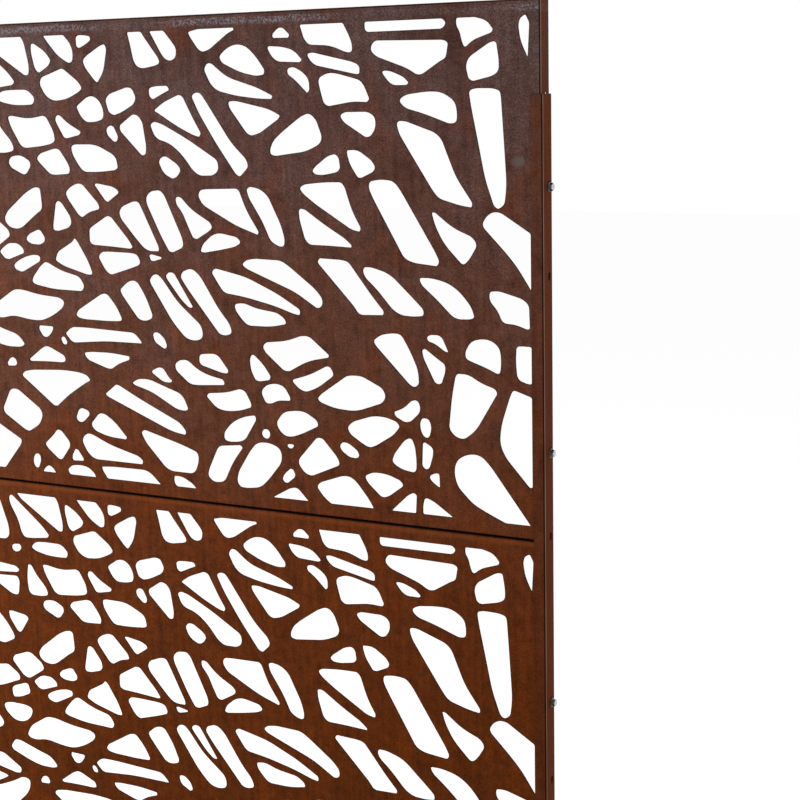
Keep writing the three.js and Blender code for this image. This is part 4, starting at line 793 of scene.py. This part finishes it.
PANEL_TONES = [
    (0.0, "#53270c"), (0.25, "#5a2a0c"), (0.5, "#602f15"), (0.62, "#5d3522"),
    (0.78, "#593526"), (0.93, "#53362e"), (1.0, "#50342b"),
]
SCREEN_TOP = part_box("upper_panel")[1].z / MM
SCREEN_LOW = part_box("lower_panel")[0].z / MM
SEAM_HEIGHT = (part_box("lower_panel")[1].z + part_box("upper_panel")[0].z) / 2 / MM
PANEL_GREY = 0.4
for node in ("upper_panel", "lower_panel"):
    is_upper = node == "upper_panel"
    finish = rust_finish("upper_rust" if is_upper else "lower_rust", PANEL_TONES, SCREEN_LOW,
                         SCREEN_TOP, PANEL_GREY, SEAM_HEIGHT, top_band=is_upper)
    dress(panel_piece(node + "_sheet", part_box(node)[0].z / MM), finish, node, node)

# ==========================================================================================
# POSTS
# Two channels folded from the same 2 mm sheet. Their lips lap over the ends of the panels,
# and slots in the web take the side bolts, so that the panels can be set level before the
# bolts are drawn up. Rusted like the panels.
# ==========================================================================================
POST_DEPTH = 36.0
POST_LIP = 17.5
POST_LOW, POST_HIGH = (corner.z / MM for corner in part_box("right_post"))
WEB_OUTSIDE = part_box("right_post")[1].x / MM
SLOT_WIDTH, SLOT_LENGTH = 7.0, 12.0
SLOT_RISE = 2.2  # slot centre above the bolt in it
SLOTTED_PITCHES = [2, 3, 5, 6]
BOLTED_PITCHES = [2, 5]
PANEL_TOPS = {
    "upper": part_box("upper_panel")[1].z / MM,
    "lower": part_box("lower_panel")[1].z / MM,
}
FOOT_BOLT_HEIGHTS = [28.0, 54.0]
FOOT_BORE = 9.0


def slot_hole(across, up):
    """Upright slot: a round hole pulled apart by the length of its straight sides."""
    loop = round_hole(0, 0, SLOT_WIDTH)
    loop[:, 1] += np.where(loop[:, 1] > 0, 1, -1) * (SLOT_LENGTH - SLOT_WIDTH) / 2
    return loop + [across, up]


def post_piece(name, side):
    """A channel: front lip, fold, pierced web, fold, back lip."""
    up = [POST_LOW + EDGE_BREAK, POST_HIGH - EDGE_BREAK]
    lip = [BEND + STRIP, POST_LIP - EDGE_BREAK]
    web = [BEND + STRIP, POST_DEPTH - BEND - STRIP]
    middle = POST_DEPTH / 2
    holes = [round_hole(middle, z, FOOT_BORE) for z in FOOT_BOLT_HEIGHTS]
    holes += [slot_hole(middle + FIXING_Y, top - step * HOLE_PITCH + SLOT_RISE)
              for top in PANEL_TOPS.values() for step in SLOTTED_PITCHES]
    parts = []
    for face in (-1, 1):
        def upright(inwards, depth, along):
            return stack(side * (WEB_OUTSIDE - inwards), face * (middle - depth), along)

        parts.append(bend_part(up, upright))
        parts.append(flat_part(rectangle(lip, up), [], 0,
                               lambda u, v, level: upright(u, level * SHEET, v)))
    parts.append(flat_part(rectangle(web, up), holes, 1, lambda u, v, level: stack(
        side * (WEB_OUTSIDE - level * SHEET), u - middle, v)))
    return sheet_piece(name, parts)


POST_TONES = [(0.0, "#502610"), (0.5, "#572a15"), (0.85, "#58301f"), (1.0, "#5a3526")]
POST_GREY = 0.12
post_rust = rust_finish("post_rust", POST_TONES, POST_LOW, POST_HIGH, POST_GREY)
for side_name, side in (("right", 1), ("left", -1)):
    dress(post_piece(side_name + "_channel", side), post_rust, "posts", side_name + "_post")

# ==========================================================================================
# FEET
# A 6 mm plate lies flat on the floor under each post, and an upright tab welded to it stands
# inside the channel. Sawn and welded steel, rusted with the rest.
# ==========================================================================================
FOOT_LOW, FOOT_HIGH = (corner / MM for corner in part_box("right_foot"))
FOOT_PLATE = 6.0
FOOT_CORNER = 12.0
FOOT_EDGE = 0.8  # rounding of the plate's edges
TAB_PLATE = 4.0
TAB_DEPTH = 28.0
TAB_OUTSIDE = WEB_OUTSIDE - SHEET - FIT
WELD_LEG = 3.6
WELD_SUNK = 0.6  # the bead's middle lies this deep in the plate and in the tab
WELD_STATIONS, WELD_SIDES = 81, 16
PLATE_SIDES = 48
TAB_SUNK = 2.0  # the tab reaches this far into the plate


def foot_plate(side):
    """The plate: its rounded outline on a row of levels. Each level's outline lies inwards by
    FOOT_EDGE (1 - cos a) as the edge rounds over, and the last ring closes to a line."""
    angle = np.linspace(0, math.pi / 2, 5)
    inset = FOOT_EDGE * (1 - np.cos(angle))
    low = FOOT_EDGE * (1 - np.sin(angle))
    insets = np.r_[inset[::-1], inset]
    levels = np.r_[low[::-1], FOOT_PLATE - low]
    turn = (np.arange(PLATE_SIDES) + 0.5) * 2 * math.pi / PLATE_SIDES
    middle_x, middle_y = side * (FOOT_LOW.x + FOOT_HIGH.x) / 2, 0.0
    half_x = (FOOT_HIGH.x - FOOT_LOW.x) / 2 - FOOT_CORNER
    half_y = (FOOT_HIGH.y - FOOT_LOW.y) / 2 - FOOT_CORNER
    x = middle_x + half_x * np.sign(np.cos(turn)) + (FOOT_CORNER - insets[:, None]) * np.cos(turn)
    y = middle_y + half_y * np.sign(np.sin(turn)) + (FOOT_CORNER - insets[:, None]) * np.sin(turn)
    z = np.broadcast_to(levels[:, None], x.shape)
    points = np.stack([x, y, z], axis=2).reshape(-1, 3)
    return points, len(levels), len(turn)


def loop_faces(rows, columns):
    """Quads of a grid whose rows are closed rings."""
    row, column = np.meshgrid(np.arange(rows - 1), np.arange(columns), indexing="ij")
    ahead = (column + 1) % columns
    quad = [row * columns + column, row * columns + ahead,
            (row + 1) * columns + ahead, (row + 1) * columns + column]
    return np.stack(quad, axis=2).reshape(-1, 4)


def weld_bead(side):
    """Fillet along the inner foot of the tab: circles of radius r about the corner, where r
    swells and falls along the run as the beads were laid and goes to nothing at both ends."""
    run = np.linspace(-1, 1, WELD_STATIONS)
    angle = np.linspace(0, 2 * math.pi, WELD_SIDES, endpoint=False)
    swell = WELD_LEG * (1 - run ** 8) * (1 + 0.07 * np.cos(run * 34) ** 2) + 0.05
    x = TAB_OUTSIDE - TAB_PLATE + WELD_SUNK + swell[:, None] * np.cos(angle)
    z = FOOT_PLATE - WELD_SUNK + swell[:, None] * np.sin(angle)
    y = np.broadcast_to((run * (TAB_DEPTH / 2 - 1))[:, None], x.shape)
    points = np.stack([side * x, y, z], axis=2).reshape(-1, 3)
    return points, len(run), len(angle)


def capped(points, rows, columns, start=0):
    """Faces of a closed tube: the quads of its rings, and one face over each end ring."""
    ends = [list(range(columns)), list(range((rows - 1) * columns, rows * columns))]
    faces = loop_faces(rows, columns).tolist() + ends
    return [[start + corner for corner in face] for face in faces]


def foot_piece(name, side):
    """Plate, weld and pierced tab, as one piece."""
    plate, bead = foot_plate(side), weld_bead(side)
    faces = capped(*plate) + capped(*bead, start=len(plate[0]))
    body = new_piece(name, np.concatenate([plate[0], bead[0]]), faces)

    depths = [EDGE_BREAK - TAB_DEPTH / 2, TAB_DEPTH / 2 - EDGE_BREAK]
    up = [FOOT_PLATE - TAB_SUNK, FOOT_HIGH.z - EDGE_BREAK]
    holes = [round_hole(0, z, FOOT_BORE) for z in FOOT_BOLT_HEIGHTS]
    tab = sheet_piece(name + "_tab", [flat_part(
        rectangle(depths, up), holes, 1,
        lambda u, v, level: stack(side * (TAB_OUTSIDE - level * TAB_PLATE), u, v))])
    whole = bmesh.new()
    whole.from_mesh(body.data)
    whole.from_mesh(tab.data)
    whole.to_mesh(body.data)
    whole.free()
    bpy.data.objects.remove(tab)
    return body


FOOT_TONES = [(0.0, "#4b2a1c"), (1.0, "#53301f")]
FOOT_GREY = 0.1
foot_rust = rust_finish("foot_rust", FOOT_TONES, FOOT_LOW.z, FOOT_HIGH.z, FOOT_GREY)
for side_name, side in (("right", 1), ("left", -1)):
    dress(foot_piece(side_name + "_foot_welded", side), foot_rust, "feet", side_name + "_foot")

# ==========================================================================================
# BOLTS, NUTS AND WASHERS
# Flanged hex bolts and plain hex nuts of stainless steel, with cold-formed heads and rolled
# threads: M6 through the panels' sides and the seam, M8 at the feet. A thick washer on each
# seam bolt keeps the two panels apart.
# ==========================================================================================
SMALL = {"thread": 6.0, "pitch": 1.0, "hex": 10.0, "flange": 14.0, "flange_thick": 1.5,
         "head": 5.5, "nut": 5.0}
LARGE = {"thread": 8.0, "pitch": 1.25, "hex": 13.0, "flange": 17.0, "flange_thick": 1.8,
         "head": 6.5, "nut": 6.5}
THREAD_END = 2.0  # how far a bolt stands out of its nut
THREAD_DEPTH = 0.61  # of the pitch
THREAD_ROWS = 6  # rows of points per turn of thread
WASHER = 16.0
WASHER_EDGE = 0.2
SEAM_GAP = 2.0
TURN = np.linspace(0, 2 * math.pi, 48, endpoint=False)
CROWN = math.tan(math.radians(30))
CONE_STEPS = 5
NUT_CHAMFER = 0.5


def hexagon(flats):
    """Reach of a hexagon at each angle of TURN: half its flats / cos(angle off the flat)."""
    return flats / 2 / np.cos((TURN + math.pi / 6) % (math.pi / 3) - math.pi / 6)


def turned(rows, axis, turn, middle):
    """Points of a turned shape, and their heights. rows are (radius, height), each a number or
    one value per angle; the shape stands on `middle` along `axis`, turned by `turn`."""
    radius = np.array([np.broadcast_to(row[0], TURN.shape) for row in rows])
    height = np.array([np.broadcast_to(row[1], TURN.shape) for row in rows])
    u, v = radius * np.cos(TURN + turn), radius * np.sin(TURN + turn)
    if axis == "Z":
        local = [u, v, height]
    else:
        side = 1 if axis == "X" else -1
        local = [side * height, u, side * v]
    return np.stack(local, axis=2).reshape(-1, 3) + middle, height.ravel()


def bolt_piece(name, size, grip, axis, turn, middle):
    """Head, flange and thread in one turned shape. The head's reach is the smaller of the
    hexagon and a 30 degree cone from its crown; the thread's is a wave that climbs one pitch
    a turn, and the flange's underside is at height 0."""
    hexa = hexagon(size["hex"])
    top = size["flange_thick"] + size["head"] - 0.5
    crown = size["hex"] * 0.45
    cones = np.linspace(crown, size["hex"] / 2 / math.cos(math.pi / 6), CONE_STEPS)
    rows = [(0, top - 0.35), (crown * 0.55, top - 0.3), (crown * 0.72, top)]
    rows += [(np.minimum(hexa, cone), top - (np.minimum(hexa, cone) - crown) * CROWN)
             for cone in cones]
    flange = size["flange"] / 2
    thick = size["flange_thick"]
    rows += [(hexa, thick + 0.4), (hexa + 0.15, thick + 0.12), (hexa + 0.5, thick),
             (flange - 0.35, thick * 0.55), (flange - 0.1, thick * 0.48),
             (flange, thick * 0.32), (flange - 0.08, thick * 0.08), (flange - 0.3, 0)]
    depth = THREAD_DEPTH * size["pitch"]
    root = size["thread"] / 2 - depth
    rows.append((root + 0.3, 0))
    reach = grip + size["nut"] + THREAD_END
    drop = np.linspace(0.05, reach, int(reach / size["pitch"] * THREAD_ROWS))[:, None]
    phase = (drop / size["pitch"] + TURN / (2 * math.pi)) % 1
    wave = np.clip(1.25 - np.abs(phase - 0.5) * 2.9, 0, 1)
    point = size["thread"] / 2 - 0.9 + (reach - drop)
    crest = np.minimum(size["thread"] / 2, point)
    rows += list(zip(np.minimum(root + wave * depth, crest), -drop))
    rows.append((0, -reach))
    points, height = turned(rows, axis, turn, middle)
    # painted shade: none at the top of the head, growing down the head to full at the flange and
    # along the thread
    grime = np.clip(1.15 - height / (thick + size["head"] * 0.75), 0, 1)
    return new_piece(name, points, loop_faces(len(rows), len(TURN)).tolist(), grime=grime)


def ring_piece(name, rows, axis, turn, middle):
    """A turned shape with a bore: the last row of points joins the first."""
    points, height = turned(rows + rows[:1], axis, turn, middle)
    faces = loop_faces(len(rows) + 1, len(TURN)).tolist()
    # nuts and washers carry painted shade all over
    return new_piece(name, points, faces, grime=np.full(len(height), 0.4))


def nut_piece(name, size, axis, turn, middle):
    """Hex nut with its upper face at height 0, chamfered on both faces and in its bore."""
    hexa = hexagon(size["hex"])
    crown = size["hex"] * 0.46
    cones = np.linspace(crown, size["hex"] / 2 / math.cos(math.pi / 6), CONE_STEPS)
    edges = [(np.minimum(hexa, cone), (np.minimum(hexa, cone) - crown) * CROWN) for cone in cones]
    bore = size["thread"] / 2 + FIT
    rows = [(reach, -drop) for reach, drop in edges]
    rows += [(reach, drop - size["nut"]) for reach, drop in edges[::-1]]
    rows += [(bore + NUT_CHAMFER, -size["nut"]), (bore, NUT_CHAMFER - size["nut"]),
             (bore, -NUT_CHAMFER), (bore + NUT_CHAMFER, 0)]
    return ring_piece(name, rows, axis, turn, middle)


def stainless_finish():
    """Bright stainless steel with a fine uneven grain, a faint warm film in places, and painted
    shade that darkens each bolt from the top of its head down to its flange and thread, and the
    nuts and washers all over."""
    steel = Finish("stainless", {"Metallic": 1.0})
    film = steel.cloud(4, 3.0).between(0.45, 0.75)
    grain = steel.cloud(0.6, 3.0, offset=2.0)
    # painted shade, from the value each piece carries
    grime = steel.mark("grime").between(0.02, 0.4) * (film * 0.1 + 0.9)
    metal = steel.blend(film * 0.35, paint("#c9cacb"), paint("#a39b90"))
    steel.set("Base Color", steel.blend(grime, metal, paint("#241f1d")))
    steel.set("Roughness", grain * 0.22 + film * 0.12 + 0.16)
    steel.bump(grain, 0.02)
    return steel.material


stainless = stainless_finish()
turns = iter(np.radians(np.arange(16) * 47.0 % 60))  # no two fixings are turned alike
side_grip = WEB_OUTSIDE + 2 * FIT + SHEET - PANEL_WIDTH / 2
for panel, top in PANEL_TOPS.items():
    for level, step in zip(("top", "bottom"), BOLTED_PITCHES):
        z = top - step * HOLE_PITCH
        for side_name, side in (("right", 1), ("left", -1)):
            axis = "X" if side > 0 else "-X"
            bolt, nut = f"{panel}_{level}_bolt_{side_name}", f"{panel}_{level}_nut_{side_name}"
            outside = (side * (WEB_OUTSIDE + FIT), FIXING_Y, z)
            inside = (side * (PANEL_WIDTH / 2 - SHEET - FIT), FIXING_Y, z)
            dress(bolt_piece(bolt + "_turned", SMALL, side_grip, axis, next(turns), outside),
                  stainless, "fixings", bolt)
            dress(nut_piece(nut + "_turned", SMALL, axis, next(turns), inside),
                  stainless, "fixings", nut)

seam_low, seam_high = PANEL_TOPS["lower"], PANEL_TOPS["lower"] + SEAM_GAP
seam_y = PANEL_FRONT + SEAM_BOLT_DEPTH
for number, x in enumerate(SEAM_BOLTS, 1):
    bolt, nut, washer = (f"seam_{kind}_{number}" for kind in ("bolt", "nut", "washer"))
    dress(bolt_piece(bolt + "_turned", SMALL, SEAM_GAP + 2 * SHEET + 2 * FIT, "Z", 0.4 * number,
                     (x, seam_y, seam_high + SHEET + FIT)), stainless, "fixings", bolt)
    dress(nut_piece(nut + "_turned", SMALL, "Z", 0.7 * number,
                    (x, seam_y, seam_low - SHEET - FIT)), stainless, "fixings", nut)
    thick = SEAM_GAP - 2 * FIT
    bore = SMALL["thread"] / 2 + FIT
    rim = WASHER / 2
    rows = [(bore, 0), (rim - WASHER_EDGE, 0), (rim, WASHER_EDGE), (rim, thick - WASHER_EDGE),
            (rim - WASHER_EDGE, thick), (bore, thick)]
    dress(ring_piece(washer + "_turned", rows, "Z", 0.0, (x, seam_y, seam_low + FIT)),
          stainless, "fixings", washer)

foot_grip = SHEET + TAB_PLATE + 3 * FIT
for number, z in enumerate(FOOT_BOLT_HEIGHTS, 1):
    for side_name, side in (("right", 1), ("left", -1)):
        axis = "X" if side > 0 else "-X"
        bolt, nut = f"foot_bolt_{side_name}_{number}", f"foot_nut_{side_name}_{number}"
        dress(bolt_piece(bolt + "_turned", LARGE, foot_grip, axis, 0.3 * number,
                         (side * (WEB_OUTSIDE + FIT), 0, z)), stainless, "fixings", bolt)
        dress(nut_piece(nut + "_turned", LARGE, axis, 0.5 * number,
                        (side * (TAB_OUTSIDE - TAB_PLATE - FIT), 0, z)), stainless, "fixings", nut)

# ==========================================================================================
# FLOOR, LIGHT AND CAMERA
# A pale studio floor that runs into a white background, an even light all round with one soft
# box at the left, and the camera to the right of the middle, 1.5 m up and looking slightly down.
# ==========================================================================================
FLOOR_HALF = 14.0
FLOOR_SHADE = 0.8
FLOOR_LIFT = 0.45  # about what the floor lacks of white where nothing shades it
WORLD_LEVEL = 0.66
BOX_PLACE, BOX_AIM = Vector((-2.0, -1.05, 1.4)), Vector((-0.7, 0, 0.85))
BOX_SIZE, BOX_POWER = 1.2, 40
CAMERA_PLACE = (1.37286, -2.00182, 1.51260)
CAMERA_TURN = (78.0034, 1.4680, 26.1714)
CAMERA_LENS = 68.728


def seen_directly(tree):
    """1 where a camera, mirror or glass ray arrives, 0 for the light that falls on things."""
    camera_ray, mirror_ray, glass_ray = (
        tree.node("ShaderNodeLightPath", {}, {}, kind)
        for kind in ("Is Camera Ray", "Is Glossy Ray", "Is Transmission Ray"))
    either = camera_ray.math("MAXIMUM", camera_ray, mirror_ray)
    return either.math("MAXIMUM", either, glass_ray)


def studio_floor():
    """White floor. What looks at it directly sees it lifted to white, less the shadows."""
    material = bpy.data.materials.new("studio_white")
    white = Tree(material)
    white.nodes.clear()
    matt = white.node("ShaderNodeBsdfDiffuse", {}, {"Color": (*[FLOOR_SHADE] * 3, 1)})
    lift = seen_directly(white) * FLOOR_LIFT
    glow = white.node("ShaderNodeEmission", {}, {"Strength": lift})
    both = white.node("ShaderNodeAddShader", {}, {0: matt, 1: glow})
    white.node("ShaderNodeOutputMaterial", {}, {"Surface": both})
    mesh = bpy.data.meshes.new("studio_floor")
    corners = np.array([(-1, -1, 0), (1, -1, 0), (1, 1, 0), (-1, 1, 0)]) * FLOOR_HALF
    mesh.from_pydata(corners.tolist(), [], [(0, 1, 2, 3)])
    mesh.materials.append(material)
    floor = bpy.data.objects.new("studio_floor", mesh)
    bpy.context.scene.collection.objects.link(floor)


def studio_world():
    """An even white surround: WORLD_LEVEL as light, and plain white where it is seen directly."""
    world = bpy.data.worlds.new("studio_world")
    surround = Tree(world)
    strength = surround.node("ShaderNodeMapRange", {}, {
        "Value": seen_directly(surround), "To Min": WORLD_LEVEL, "To Max": 1.0})
    background = surround.nodes["Background"]
    background.inputs["Color"].default_value = (1, 1, 1, 1)
    surround.links.new(strength.socket, background.inputs["Strength"])
    bpy.context.scene.world = world


studio_floor()
studio_world()

lamp = bpy.data.lights.new("left_box", "AREA")
lamp.shape, lamp.size, lamp.energy = "SQUARE", BOX_SIZE, BOX_POWER
soft_box = bpy.data.objects.new("left_box", lamp)
soft_box.location = BOX_PLACE
soft_box.rotation_euler = (BOX_AIM - BOX_PLACE).to_track_quat("-Z", "Y").to_euler()
bpy.context.scene.collection.objects.link(soft_box)

camera_data = bpy.data.cameras.new("camera")
camera_data.lens = CAMERA_LENS
camera = bpy.data.objects.new("camera", camera_data)
camera.location = CAMERA_PLACE
camera.rotation_euler = [math.radians(angle) for angle in CAMERA_TURN]
bpy.context.scene.collection.objects.link(camera)
bpy.context.scene.camera = camera
bpy.context.scene.view_settings.view_transform = "Standard"
